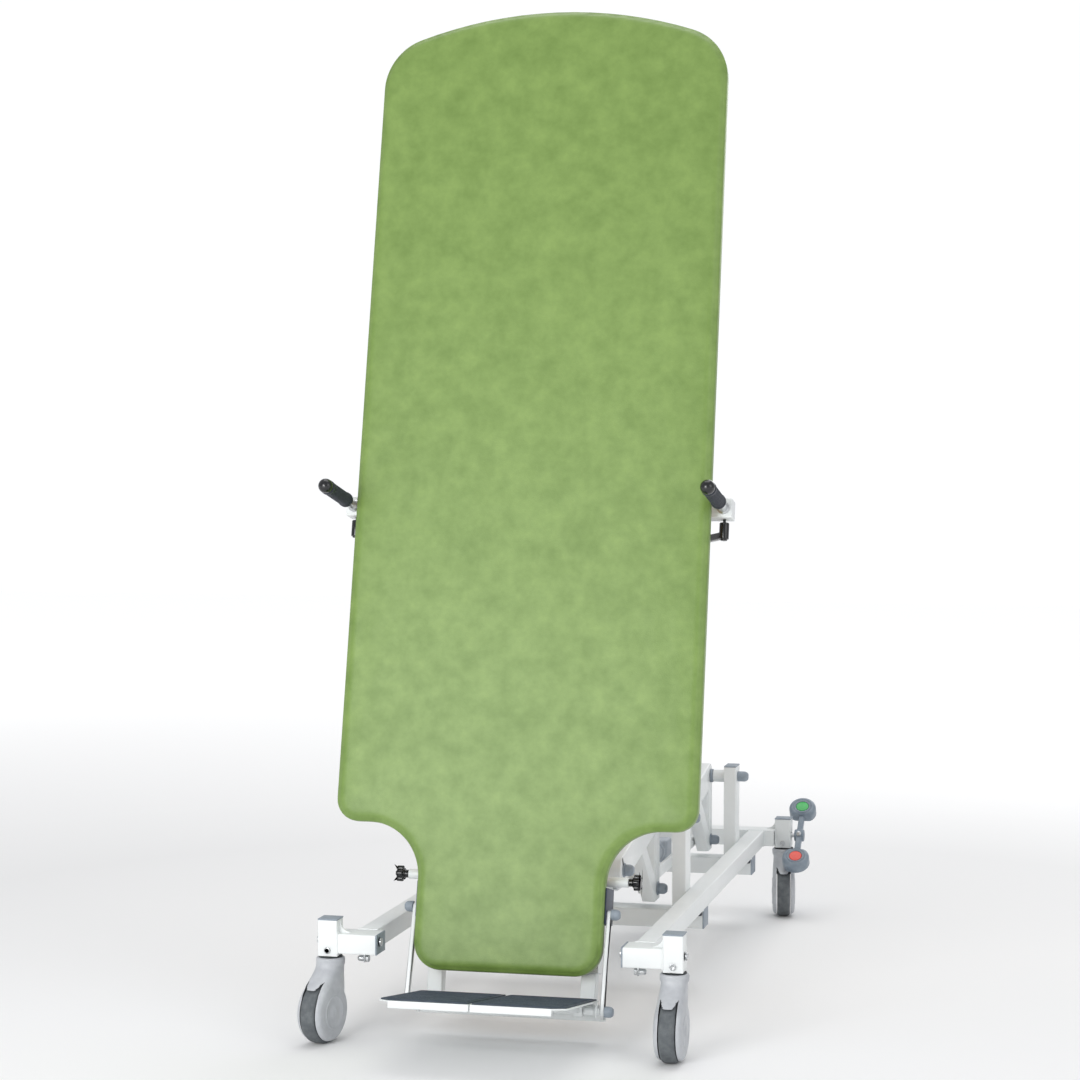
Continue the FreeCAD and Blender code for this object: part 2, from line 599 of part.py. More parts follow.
def tilting_frame():
    """Side tubes, cross tubes and the lug of the tilt actuator."""
    x0, x1 = TOP_TUBE_X - TOP_TUBE / 2, TOP_TUBE_X + TOP_TUBE / 2
    side = tube(x0, x1, 8, TOP_TUBE_END, TUBE_N0, TUBE_N1, "y")
    side = side.cut(x_rod(1, x0 - 1, x1 + 1, AXIS_U, AXIS_N, TILT_PIN_R))
    side = side.cut(x_rod(1, TOP_TUBE_X, x1 + 1, KNOB_U, AXIS_N, 5.0))
    parts = both(side)
    for u in (TILT_LUG[0], 1250.0, TOP_TUBE_END - 20):
        parts.append(tube(-x0, x0, u - 15, u + 15, TUBE_N1 - 30, TUBE_N1, "x"))
    u, n = TILT_LUG
    lug = slot_plate(u, n, u, TUBE_N1 - 30, EYE_R, -LUG_T / 2, LUG_T / 2)
    lug = lug.cut(box(-20, 20, u - 15, u + 15, TUBE_N1 - 30, 0)).cut(x_rod(1, -20, 20, u, n, PIN_R))
    lug = lug.common(box(-20, 20, u - 40, u + 40, n - 40, TUBE_N1 - 30))
    return [tilted(part) for part in parts + [lug]]


RAIL_HOLD_X = 357.0        # accessory rail centre, behind the board's edge
RAIL_N0, RAIL_N1 = -97.0, -72.0
RAIL_U0, RAIL_U1 = 790.0, 1110.0


def accessory_rails():
    """10 x 25 equipment rails behind each edge of the board, on two outriggers."""
    rail = box(RAIL_HOLD_X - 5, RAIL_HOLD_X + 5, RAIL_U0, RAIL_U1, RAIL_N0, RAIL_N1)
    arms = [box(TOP_TUBE_X + TOP_TUBE / 2, RAIL_HOLD_X - 5, u - 15, u + 15, RAIL_N1 - 8, RAIL_N1)
            for u in (RAIL_U0 + 25, RAIL_U1 - 25)]
    return [tilted(part) for part in both(fuse([rail] + arms))]


def leg_lock_bosses():
    """Threaded bosses on the side tubes for the star knobs."""
    x1 = TOP_TUBE_X + TOP_TUBE / 2
    boss = x_rod(1, x1, 229.0, KNOB_U, AXIS_N, 10.0)
    boss = boss.cut(x_rod(1, x1 - 2, 231.0, KNOB_U, AXIS_N, 5.0))
    return [tilted(part) for part in both(boss)]


def tilt_frame_caps():
    """Plastic caps on the head ends of the side tubes."""
    x0, x1 = TOP_TUBE_X - TOP_TUBE / 2, TOP_TUBE_X + TOP_TUBE / 2
    cap = box(x0, x1, TOP_TUBE_END, TOP_TUBE_END + CAP_T, TUBE_N0, TUBE_N1)
    return [tilted(part) for part in both(cap)]


# ---------------------------------------------------------------- footplate
FOOT_LEG = 30.0
BRACKET_X0, BRACKET_X1 = 186.5, 191.5
STAY_X0, STAY_X1 = 195.8, 204.0
STAY_U, STAY_N = 124.0, -41.0


def foot_frame():
    """Sliding legs, their foot bar, side brackets, hinge shaft and side stays."""
    half = FOOT_LEG / 2
    leg = tube(TOP_TUBE_X - half, TOP_TUBE_X + half, -55, 320, AXIS_N - half, AXIS_N + half, "y")
    bar = tube(-BRACKET_X1, BRACKET_X1, -85, -55, AXIS_N - half, AXIS_N + half, "x")
    bracket = slot_plate(SHAFT_U, SHAFT_N, -70, AXIS_N, 14.0, BRACKET_X0, BRACKET_X1)
    bracket = bracket.cut(box(BRACKET_X0 - 1, BRACKET_X1 + 1, -85, -55, AXIS_N - half, AXIS_N + half))
    bracket = biggest(bracket)[0]
    stay = slot_plate(SHAFT_U, SHAFT_N, STAY_U, STAY_N, 8.0, STAY_X0, STAY_X1)
    bracket = bracket.cut(x_rod(1, 0, 300, SHAFT_U, SHAFT_N, SHAFT_R))
    stay = stay.cut(x_rod(1, 0, 300, SHAFT_U, SHAFT_N, SHAFT_R - 2))
    stay = stay.cut(x_rod(1, 0, 300, STAY_U, STAY_N, 4.0))
    shaft = rod(V(-STAY_X0, SHAFT_U, SHAFT_N), X_AXIS, SHAFT_R - RUN_FIT, 2 * STAY_X0)
    return [tilted(part) for part in both(leg) + [bar] + both(bracket) + both(stay) + [shaft]]


def foot_frame_caps():
    """Domed caps at both ends of the stays and of the hinge shaft."""
    parts = []
    for u, n, stem in ((SHAFT_U, SHAFT_N, SHAFT_R - 2 - RUN_FIT), (STAY_U, STAY_N, 4.0 - RUN_FIT)):
        stub = x_rod(1, STAY_X0 + 0.5, STAY_X1, u, n, stem)
        cap = dome(1, STAY_X1, STAY_X1 + 9, u, n, 11.0)
        parts += both(fuse([stub, cap]))
    return [tilted(part) for part in parts]


def slide_shoes():
    """Dark plastic shoes that carry the stays' upper ends beside the side tubes."""
    x0 = TOP_TUBE_X + TOP_TUBE / 2 + 0.6
    block = box(x0, FOOT_HALF + 0.5, 104, 176, AXIS_N - 18, BOARD_N0 - 1)
    cheek = box(FOOT_HALF + 0.5, STAY_X0, 104, 176, AXIS_N - 18, -25)
    return [tilted(part) for part in both(fuse([block, cheek]))]


def plate_frame(shape):
    """Carry a footplate piece, drawn level about its hinge (Y forwards, Z up), to its stored slope."""
    out = shape.copy()
    out.rotate(V(0, 0, 0), X_AXIS, -PLATE_SLOPE)
    out.translate(V(0, SHAFT[0], SHAFT[1]))
    return out


PLATE_TOP = 22.0           # plate's upper face above the hinge line
PLATE_T = 3.0
MAT_T = 3.0
PLATE_GAP = 1.5


def foot_plate(side):
    """Steel tray with folded edges, stiffening gussets and hinge knuckles."""
    y0, y1 = -(PLATE_DEPTH - PLATE_BEHIND), PLATE_BEHIND
    top = PLATE_TOP - MAT_T
    x0, x1 = PLATE_GAP, PLATE_HALF
    cut = 26.0
    points = [V(x0, y1, 0), V(x0, y0, 0), V(x1 - cut, y0, 0), V(x1, y0 + cut, 0), V(x1, y1, 0)]
    face = Part.Face(Part.makePolygon(points + points[:1]))
    sheet = face.extrude(V(0, 0, PLATE_T))
    sheet.translate(V(0, 0, top - PLATE_T))
    lip = box(x0, x1 - cut, y0, y0 + 3, top - 14, top)
    parts = [sheet, lip]
    for x in (x0 + 30, x0 + 90, x0 + 150):
        gusset = [(-12, top - 2), (-12, -4), (y0 + 50, top - 8), (y0 + 3, top - 12), (y0 + 3, top - 2)]
        parts.append(prism(gusset, x, x + 3))
        parts.append(x_rod(1, x - 8, x + 11, 0, 0, 12.0))
        parts.append(box(x - 8, x + 11, -12, 12, 0, top - 1))
    tray = fuse(parts).cut(x_rod(1, -5, 220, 0, 0, SHAFT_R))
    tray = tray if side > 0 else mirror_x(tray)
    return [plate_frame(tray)]


def foot_mat(side):
    """Ribbed rubber mat on a footplate."""
    y0, y1 = -(PLATE_DEPTH - PLATE_BEHIND) + 5, PLATE_BEHIND - 4
    x0, x1, cut = PLATE_GAP + 3, PLATE_HALF - 4, 24.0
    points = [V(x0, y1, 0), V(x0, y0, 0), V(x1 - cut, y0, 0), V(x1, y0 + cut, 0), V(x1, y1, 0)]
    mat = Part.Face(Part.makePolygon(points + points[:1])).extrude(V(0, 0, MAT_T))
    mat.translate(V(0, 0, PLATE_TOP - MAT_T))
    mat = mat if side > 0 else mirror_x(mat)
    return [plate_frame(mat)]


def lock_knob(side):
    """Five-lobed star knob with its threaded stud."""
    knob = x_rod(side, 229.5, 240, KNOB_U, AXIS_N, 8.0)
    head = x_rod(side, 238, 254, KNOB_U, AXIS_N, 11.0)
    lobes = []
    for k in range(5):
        a = math.radians(90 + 72 * k)
        lobes.append(x_rod(side, 240, 254, KNOB_U + 11 * math.cos(a), AXIS_N + 11 * math.sin(a), 5.5))
    stud = x_rod(side, TOP_TUBE_X + FOOT_LEG / 2 + 0.3, 232, KNOB_U, AXIS_N, 5.0 - RUN_FIT)
    return [tilted(fuse([knob, head, stud] + lobes))]


# ---------------------------------------------------------------- hand grips
BLOCK_U0, BLOCK_U1 = GRIP_U - 20, GRIP_U + 20
HUB_N = -84.0


def hand_grip(side):
    """Rail clamp with the upright stem, sleeve and ball end of a hand grip."""
    block = box(RAIL_HOLD_X - 12, GRIP_X + 18, BLOCK_U0, BLOCK_U1, RAIL_N0 - 7, -63)
    slot = box(RAIL_HOLD_X - 5.3, RAIL_HOLD_X + 5.3, BLOCK_U0 - 1, BLOCK_U1 + 1,
               RAIL_N0 - 0.3, RAIL_N1 + 0.3)
    bore = rod(V(GRIP_X, BLOCK_U0 - 1, HUB_N), Y_AXIS, 3.0 + RUN_FIT, 24)
    block = block.cut(slot).cut(bore)
    stem = rod(V(GRIP_X, GRIP_U, -63), Z_AXIS, 10.0, 100)
    sleeve = rod(V(GRIP_X, GRIP_U, 0), Z_AXIS, 14.5, 130)
    ball = Part.makeSphere(15.0, V(GRIP_X, GRIP_U, 138))
    grip = fuse([block, stem])
    sleeve = fuse([sleeve, ball]).cut(rod(V(GRIP_X, GRIP_U, -1), Z_AXIS, 10.0, 38.0))
    return [tilted(piece if side > 0 else mirror_x(piece)) for piece in (grip, sleeve)]


def clamp_lever(side):
    """Clamping lever under the rail clamp: stud, hub and an arm that points behind the top."""
    stud = rod(V(GRIP_X, BLOCK_U0 + 18, HUB_N), V(0, -1, 0), 3.0, 30)
    hub = rod(V(GRIP_X, BLOCK_U0 - 7, HUB_N), V(0, -1, 0), 10.0, 34)
    arm = box(-58, 0, BLOCK_U0 - 40, BLOCK_U0 - 26, -6, 6)
    arm.rotate(V(0, 0, 0), Y_AXIS, -45)
    arm.translate(V(GRIP_X, 0, HUB_N))
    cap = rod(V(GRIP_X, BLOCK_U0 - 41, HUB_N), V(0, -1, 0), 7.0, 3)
    lever = fuse([stud, hub, arm, cap])
    return [tilted(lever if side > 0 else mirror_x(lever))]


# ---------------------------------------------------------------- central brake
PEDAL_X = 389.0
PAD_R = 34.0
PAD_REACH = 86.0
PAD_RISE = 18.0            # top of a pad above the rocker's centre line
BRAKE_REST = 38.0          # rocker turned towards the red pad, as stored
PEDAL_BASE = -12.0
INLAY_R = 16.0
INLAY_T = 2.0
HEX_FLATS = 10.0


def link_pin(y):
    """Y and Z of the pin that moves a brake link, half the travel past straight down."""
    return turned((y, BRAKE_Z - BRAKE_LEVER), (y, BRAKE_Z), BRAKE_TRAVEL / 2)


def brake_lever(x_mid, y):
    """Small lever plate on a brake shaft, with the pin that moves a link."""
    pin_y, pin_z = link_pin(y)
    plate = slot_plate(y, BRAKE_Z, pin_y, pin_z, 7.0, x_mid - 6, x_mid - 2)
    pin = x_rod(1, x_mid - 3, x_mid + 5, pin_y, pin_z, 3.0 - RUN_FIT)
    return fuse([plate, pin])


def brake_rear_shaft():
    """Hexagonal shaft across the head end, with its two lever plates."""
    y = WHEELBASE_Y
    bar = hexagon(V(-PEDAL_X, y, BRAKE_Z), X_AXIS, HEX_FLATS, 2 * PEDAL_X)
    return [bar] + both(brake_lever(RAIL_X, y).cut(bar))


def brake_front_shafts():
    """Short hexagonal shafts through the front corners."""
    y = -WHEELBASE_Y
    x0, x1 = 244.0, TRACK_X + POST_SIDE / 2 + 4
    bar = hexagon(V(x0, y, BRAKE_Z), X_AXIS, HEX_FLATS, x1 - x0)
    head = x_rod(1, x0 - 2, x0 + 2, y, BRAKE_Z, 8.0)
    button = x_rod(1, x1 - 2, x1 + 2, y, BRAKE_Z, 8.0)
    return both(fuse([bar, head, button])) + both(brake_lever(RAIL_X, y).cut(bar))


def brake_links():
    """Flat bars inside the side rails that join front and rear brake levers."""
    (y0, z), (y1, z) = link_pin(-WHEELBASE_Y), link_pin(WHEELBASE_Y)
    link = slot_plate(y0, z, y1, z, 4.5, RAIL_X - 1.5, RAIL_X + 3)
    for y in (y0, y1):
        link = link.cut(x_rod(1, 200, 400, y, z, 3.0))
    return both(link)


def rocker(shape):
    """Turn a piece drawn on a level rocker (Y and Z from its shaft) to the stored angle."""
    out = shape.copy()
    out.rotate(V(0, 0, 0), X_AXIS, BRAKE_REST)
    out.translate(V(0, WHEELBASE_Y, BRAKE_Z))
    return out


def pedal_disc(which, radius, z0, z1):
    """Round piece of a foot pad, for which = 1 the green pad and -1 the red one."""
    return rod(V(PEDAL_X, which * PAD_REACH, z0), Z_AXIS, radius, z1 - z0)


def brake_pedal_arms():
    """Cast rocker arms on both ends of the rear shaft, with a boss and a bolt."""
    bar = slot_plate(-PAD_REACH, 0, PAD_REACH, 0, 9.0, PEDAL_X - 7, PEDAL_X + 7)
    boss = x_rod(1, PEDAL_X - 12, PEDAL_X + 12, 0, 0, 15.0)
    arm = fuse([bar, boss]).cut(x_rod(1, 300, PEDAL_X, 0, 0, HEX_FLATS / math.sqrt(3) + RUN_FIT))
    for which in SIDES:
        arm = arm.cut(pedal_disc(which, PAD_R, PEDAL_BASE, PAD_RISE))
    return both(rocker(arm))


def brake_pads():
    """Foot pads of the rocker, left and right."""
    parts = []
    for which in SIDES:
        solid = pedal_disc(which, PAD_R, PEDAL_BASE, PAD_RISE)
        solid = solid.cut(pedal_disc(which, INLAY_R, PAD_RISE - INLAY_T, PAD_RISE))
        parts += both(rocker(solid))
    return parts


def brake_inlay(which):
    """Coloured inlay in the top of a pad."""
    return both(rocker(pedal_disc(which, INLAY_R, PAD_RISE - INLAY_T, PAD_RISE)))


# ---------------------------------------------------------------- castors
TYRE_W = 32.0
RIM_R = 48.0
SHELL_X0, SHELL_X1 = 18.0, 28.0
SHELL_R = 55.0
HOOD_R = 70.0
STEM_R = 14.0


def castor_fork():
    """Moulded castor housing: collar, hood, two side discs, stem and axle."""
    wheel = V(0, -TRAIL, WHEEL_R)
    discs = [x_rod(s, SHELL_X0, SHELL_X1, wheel.y, wheel.z, SHELL_R) for s in SIDES]
    hood = rod(V(-SHELL_X1, wheel.y, wheel.z), X_AXIS, HOOD_R, 2 * SHELL_X1)
    hood = hood.common(box(-40, 40, -TRAIL - 42, 60, 70, 160))
    neck = rod(V(0, 0, 100), Z_AXIS, 26.0, 62).fuse(rod(V(0, 0, 155), Z_AXIS, 29.0, 12))
    room = rod(V(-TYRE_W / 2 - 1.5, wheel.y, wheel.z), X_AXIS, WHEEL_R + 2.5, TYRE_W + 3)
    shell = fuse([hood, neck] + discs).cut(room)
    shell = shell.cut(box(-TYRE_W / 2 - 1.5, TYRE_W / 2 + 1.5, -200, wheel.y - 30, 0, 200))
    stem = rod(V(0, 0, 160), Z_AXIS, STEM_R, 27)
    collar = rod(V(0, 0, 166), Z_AXIS, 18.0, 3.5)
    axle = rod(V(-SHELL_X1 - 1, wheel.y, wheel.z), X_AXIS, 6.0, 2 * SHELL_X1 + 2)
    return fuse([shell, stem, collar, axle])


def castor_hub():
    """Moulded wheel centre with its bearing bore."""
    start = V(-TYRE_W / 2 + 1, -TRAIL, WHEEL_R)
    rim = rod(start, X_AXIS, RIM_R, TYRE_W - 2)
    return rim.cut(rod(V(-40, -TRAIL, WHEEL_R), X_AXIS, 6.0 + RUN_FIT, 80))


def castor_tyre():
    """Grey tread ring with rounded shoulders."""
    start = V(-TYRE_W / 2, -TRAIL, WHEEL_R)
    ring = rod(start, X_AXIS, WHEEL_R, TYRE_W)
    shoulders = [e for e in ring.Edges if e.Closed]
    ring = ring.makeFillet(7.0, shoulders)
    return ring.cut(rod(V(-40, -TRAIL, WHEEL_R), X_AXIS, RIM_R, 80))


def castor_place(name):
    """X and Y, from the base centre, of a castor's stem."""
    end, side = name.split("_")
    return (TRACK_X if side == "right" else -TRACK_X), (-WHEELBASE_Y if end == "front" else WHEELBASE_Y)


def placed_castor(shape, name):
    """Turn a castor piece to its swivel angle and carry it under its post."""
    x, y = castor_place(name)
    out = shape.copy()
    out.rotate(V(0, 0, 0), Z_AXIS, SWIVELS[name])
    out.translate(V(x, y, 0))
    return [out]


# ---------------------------------------------------------------- nodes
def nodes():
    """Every node's name and its list of solids, measured from the base centre."""
    lift_body, lift_rod = lift_actuator()
    tilt_body, tilt_rod = tilt_actuator()
    table = {
        "side_rails": side_rails(),
        "foot_corner_tubes": foot_corner_tubes(),
        "head_cross_tube": head_cross_tube(),
        "lower_cross_tubes": lower_cross_tubes(),
        "castor_posts": castor_posts(),
        "welded_brackets": corner_gussets() + lift_tail_bracket(),
        "lift_posts": lift_posts(),
        "frame_end_caps": frame_end_caps(),
        "rail_bumpers": rail_bumpers(),
        "lift_pivot_pins": lift_pivot_pins(),
        "castor_stem_bolts": castor_stem_bolts(),
        "control_box": control_box(),
        "front_lift_arms": front_lift_arms(),
        "rear_lift_arms": rear_lift_arms(),
        "front_arm_fittings": arm_fittings(FRONT_POST_Y),
        "rear_arm_fittings": arm_fittings(REAR_POST_Y),
        "tie_bars": tie_bars(),
        "lift_actuator_body": [lift_body],
        "lift_actuator_rod": [lift_rod],
        "tilt_actuator_body": [tilt_body],
        "tilt_actuator_rod": [tilt_rod],
        "upper_frame_tubes": upper_frame_tubes(),
        "upper_frame_fittings": tilt_ears() + upper_frame_fittings(),
        "pad": pad(),
        "base_board": base_board(),
        "tilting_frame": tilting_frame() + leg_lock_bosses(),
        "accessory_rails": accessory_rails(),
        "tilt_frame_caps": tilt_frame_caps(),
        "foot_frame": foot_frame(),
        "foot_frame_caps": foot_frame_caps(),
        "slide_shoes": slide_shoes(),
        "brake_rear_shaft": brake_rear_shaft(),
        "brake_pedal_arms": brake_pedal_arms(),
        "brake_pads": brake_pads(),
        "brake_inlay_green": brake_inlay(1),
        "brake_inlay_red": brake_inlay(-1),
        "brake_front_shafts": brake_front_shafts(),
        "brake_links": brake_links(),
    }
    for name, side in (("left", -1), ("right", 1)):
        table["foot_plate_" + name] = foot_plate(side)
        table["foot_mat_" + name] = foot_mat(side)
        table["lock_knob_" + name] = lock_knob(side)
        table["hand_grip_" + name] = hand_grip(side)
        table["clamp_lever_" + name] = clamp_lever(side)
    for name in SWIVELS:
        for piece, maker in (("fork", castor_fork), ("hub", castor_hub), ("tyre", castor_tyre)):
            table["castor_" + piece + "_" + name] = placed_castor(maker(), name)
    return table


def main():
    """Write one STEP file per node in the row frame."""
    os.makedirs("parts", exist_ok=True)
    whole = FreeCAD.BoundBox()
    for name, solids in nodes().items():
        shape = Part.makeCompound(solids)
        shape.translate(V(0, BASE_Y, 0))
        if not shape.isValid():
            print("invalid shape:", name)
        whole.add(shape.BoundBox)
        shape.exportStep("parts/" + name + ".step")
    print("box", whole)
    print("ratios", coupling_ratios())


if __name__ == "__main__":
    main()
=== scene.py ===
"""Powered tilt table with its padded top raised nearly upright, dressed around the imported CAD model.

Row frame in metres: +X to the table's right side as seen from its foot end, +Y towards the head
end of the base, +Z up, floor at Z = 0.
"""
import json
import logging
import math
from dataclasses import dataclass
from enum import Enum
from typing import Any, Iterable, Optional, Sequence

import bmesh
import bpy
import numpy as np
from mathutils import Matrix, Vector, noise


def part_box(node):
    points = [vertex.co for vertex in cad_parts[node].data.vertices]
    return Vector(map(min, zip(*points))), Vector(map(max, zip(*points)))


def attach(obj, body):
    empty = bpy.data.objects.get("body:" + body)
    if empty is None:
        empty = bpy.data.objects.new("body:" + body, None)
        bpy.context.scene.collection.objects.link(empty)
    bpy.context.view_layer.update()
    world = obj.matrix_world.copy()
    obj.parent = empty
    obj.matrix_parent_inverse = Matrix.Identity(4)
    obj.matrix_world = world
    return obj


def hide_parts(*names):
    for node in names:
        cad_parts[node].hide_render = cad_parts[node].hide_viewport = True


logging.basicConfig(level=logging.INFO, format="%(message)s")
LOG = logging.getLogger("tilt_table")

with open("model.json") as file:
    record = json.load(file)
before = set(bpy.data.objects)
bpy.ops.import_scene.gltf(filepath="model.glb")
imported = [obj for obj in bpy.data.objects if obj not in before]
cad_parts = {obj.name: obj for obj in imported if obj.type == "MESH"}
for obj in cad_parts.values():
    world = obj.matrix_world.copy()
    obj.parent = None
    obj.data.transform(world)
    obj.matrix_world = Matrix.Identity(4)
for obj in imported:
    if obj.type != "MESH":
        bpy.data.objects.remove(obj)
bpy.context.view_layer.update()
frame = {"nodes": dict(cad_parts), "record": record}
RECORD = frame["record"]
BODY_OF = {node: body for body, nodes in RECORD["behaviour"]["bodies"].items() for node in nodes}
SLOT_OF = {part["node"]: part["material_slot"] for part in RECORD["subparts"]}
JOINTS = {joint["name"]: joint for joint in RECORD["behaviour"]["joints"]}

MM = 0.001
MERGE_GAP = 3e-6                    # metres: corners of a CAD mesh that are one corner
FLAT_ANGLE = math.radians(0.6)      # faces that meet at less than this are one flat face
SHARP_ANGLE = math.radians(28.0)    # edges that turn by more than this are eased
ROOM_SHARE = 0.38                   # the most of a face's width that one eased edge takes
TILT = math.radians(77.0)           # the top against the floor, as stored
TOP_FOOT_Y, TOP_FOOT_Z = -0.752, 0.144   # the top's foot end, from the middle of the wheelbase
PLATE_SLOPE = math.radians(-9.1)    # the footplates' rise towards their front edge
ROCKER_TURN = math.radians(38.0)    # the brake rocker as stored
SIDES = {"left": -1.0, "right": 1.0}
CORNERS = ("front_left", "front_right", "rear_left", "rear_right")
Profile = Sequence[tuple[float, float]]


# ------------------------------------------------------------------ colours and nodes
def linear(code: str) -> tuple[float, float, float, float]:
    """Turn an sRGB hex colour into linear light.

    Args:
        code: Six hex digits with a leading hash.

    Returns:
        Linear red, green and blue, and an alpha of one.
    """
    parts = [int(code[i:i + 2], 16) / 255 for i in (1, 3, 5)]
    light = [c / 12.92 if c <= 0.04045 else ((c + 0.055) / 1.055) ** 2.4 for c in parts]
    return (light[0], light[1], light[2], 1.0)


def add_node(tree: bpy.types.NodeTree, kind: str, values: dict[str, Any],
             links: Optional[dict[str, bpy.types.NodeSocket]] = None) -> bpy.types.Node:
    """Add a node with its settings and links.

    Args:
        tree: Node tree that takes the node.
        kind: Blender's node type.
        values: Socket defaults by socket name, or node settings by attribute name.
        links: Output sockets to join, by the name of the input that each feeds.

    Returns:
        The new node.
    """
    node = tree.nodes.new(kind)
    for name, value in values.items():
        if hasattr(node, name):
            setattr(node, name, value)
    for name, value in values.items():
        if not hasattr(node, name):
            node.inputs[name].default_value = value
    for name, socket in (links or {}).items():
        tree.links.new(socket, node.inputs[name])
    return node


class Grain(Enum):
    """How a surface's fine relief was made."""

    SPRAYED = "sprayed"      # flowed powder or paint: soft orange peel
    MOULDED = "moulded"      # spark-eroded mould texture
    LEATHER = "leather"      # embossed cells
    DRAWN = "drawn"          # fine lines from drawing or brushing
    PLIES = "plies"          # veneer layers and wood grain


@dataclass(frozen=True)
class Finish:
    """One real surface: its material, process, colours and the size of its pattern in millimetres."""

    name: str
    light: str
    dark: str
    grain: Grain
    rough: float
    rough_spread: float = 0.06
    metallic: float = 0.0
    ior: float = 1.5
    mottle_mm: float = 60.0
    grain_mm: float = 2.0
    relief_mm: float = 0.02
    mix_low: float = 0.35
    mix_high: float = 0.65
    coat: float = 0.0
    coat_rough: float = 0.15
    grime: float = 0.0
    crease_mm: float = 38.0

    def relief(self, tree: bpy.types.NodeTree, place: bpy.types.NodeSocket) -> bpy.types.NodeSocket:
        """Build the height pattern of the surface.

        Args:
            tree: The material's node tree.
            place: Object coordinates in metres.

        Returns:
            The socket that carries the height.
        """
        scale = 1000.0 / self.grain_mm
        if self.grain is Grain.LEATHER:
            warp = add_node(tree, "ShaderNodeTexNoise", {"Scale": scale * 0.4, "Detail": 2.0},
                            {"Vector": place})
            bent = add_node(tree, "ShaderNodeVectorMath", {"operation": "MULTIPLY_ADD"})
            tree.links.new(warp.outputs["Color"], bent.inputs[0])
            bent.inputs[1].default_value = (0.0016, 0.0016, 0.0016)
            tree.links.new(place, bent.inputs[2])
            cells = add_node(tree, "ShaderNodeTexVoronoi", {"feature": "SMOOTH_F1", "Scale": scale},
                             {"Vector": bent.outputs[0]})
            creases = add_node(tree, "ShaderNodeTexNoise",
                               {"noise_type": "RIDGED_MULTIFRACTAL", "Scale": 1000.0 / self.crease_mm,
                                "Detail": 4.0, "Distortion": 1.3}, {"Vector": place})
            height = add_node(tree, "ShaderNodeMath", {"operation": "MULTIPLY_ADD"},
                              {"Value": creases.outputs["Fac"]})
            height.inputs[1].default_value = -0.45
            tree.links.new(cells.outputs["Distance"], height.inputs[2])
            return height.outputs[0]
        if self.grain is Grain.DRAWN:
            stretch = add_node(tree, "ShaderNodeMapping", {"Scale": (1.0, 0.06, 1.0)}, {"Vector": place})
            lines = add_node(tree, "ShaderNodeTexNoise", {"Scale": scale, "Detail": 4.0},
                             {"Vector": stretch.outputs["Vector"]})
            return lines.outputs["Fac"]
        detail = 1.0 if self.grain is Grain.SPRAYED else 3.0
        grains = add_node(tree, "ShaderNodeTexNoise", {"Scale": scale, "Detail": detail}, {"Vector": place})
        return grains.outputs["Fac"]

    def build(self) -> bpy.types.Material:
        """Make the material.

        Returns:
            A material whose colour, roughness and relief come from nodes on Object coordinates.
        """
        material = bpy.data.materials.new(self.name)
        material.use_nodes = True
        tree = material.node_tree
        tree.nodes.clear()
        place = add_node(tree, "ShaderNodeTexCoord", {}).outputs["Object"]
        cloud = add_node(tree, "ShaderNodeTexNoise", {"Scale": 1000.0 / self.mottle_mm, "Detail": 6.0,
                                                      "Roughness": 0.62}, {"Vector": place})
        spread = add_node(tree, "ShaderNodeMapRange", {"From Min": self.mix_low, "From Max": self.mix_high},
                          {"Value": cloud.outputs["Fac"]})
        blend = add_node(tree, "ShaderNodeMix", {"data_type": "RGBA"})
        colour_a, colour_b, colour_out = blend.inputs[6], blend.inputs[7], blend.outputs[2]
        colour_a.default_value, colour_b.default_value = linear(self.light), linear(self.dark)
        tree.links.new(spread.outputs["Result"], blend.inputs[0])
        height = self.relief(tree, place)
        colour = colour_out
        if self.grain is Grain.LEATHER or self.grime > 0.0:
            shade = add_node(tree, "ShaderNodeMapRange",
                             {"From Min": 0.25, "From Max": 0.75, "To Min": 1.0 - self.grime, "To Max": 1.0},
                             {"Value": height})
            darker = add_node(tree, "ShaderNodeMix", {"data_type": "RGBA", "blend_type": "MULTIPLY"})
            darker.inputs[0].default_value = 1.0
            tree.links.new(colour, darker.inputs[6])
            tree.links.new(shade.outputs["Result"], darker.inputs[7])
            colour = darker.outputs[2]
        dull = add_node(tree, "ShaderNodeMapRange", {"To Min": self.rough - self.rough_spread,
                                                     "To Max": self.rough + self.rough_spread},
                        {"Value": cloud.outputs["Fac"]})
        bump = add_node(tree, "ShaderNodeBump", {"Strength": 1.0, "Distance": self.relief_mm * MM},
                        {"Height": height})
        shader = add_node(tree, "ShaderNodeBsdfPrincipled",
                          {"Metallic": self.metallic, "Coat Weight": self.coat,
                           "Coat Roughness": self.coat_rough},
                          {"Base Color": colour, "Roughness": dull.outputs["Result"],
                           "Normal": bump.outputs["Normal"]})
        if self.metallic < 0.5:
            shader.inputs["IOR"].default_value = self.ior
        add_node(tree, "ShaderNodeOutputMaterial", {}, {"Surface": shader.outputs["BSDF"]})
        return material


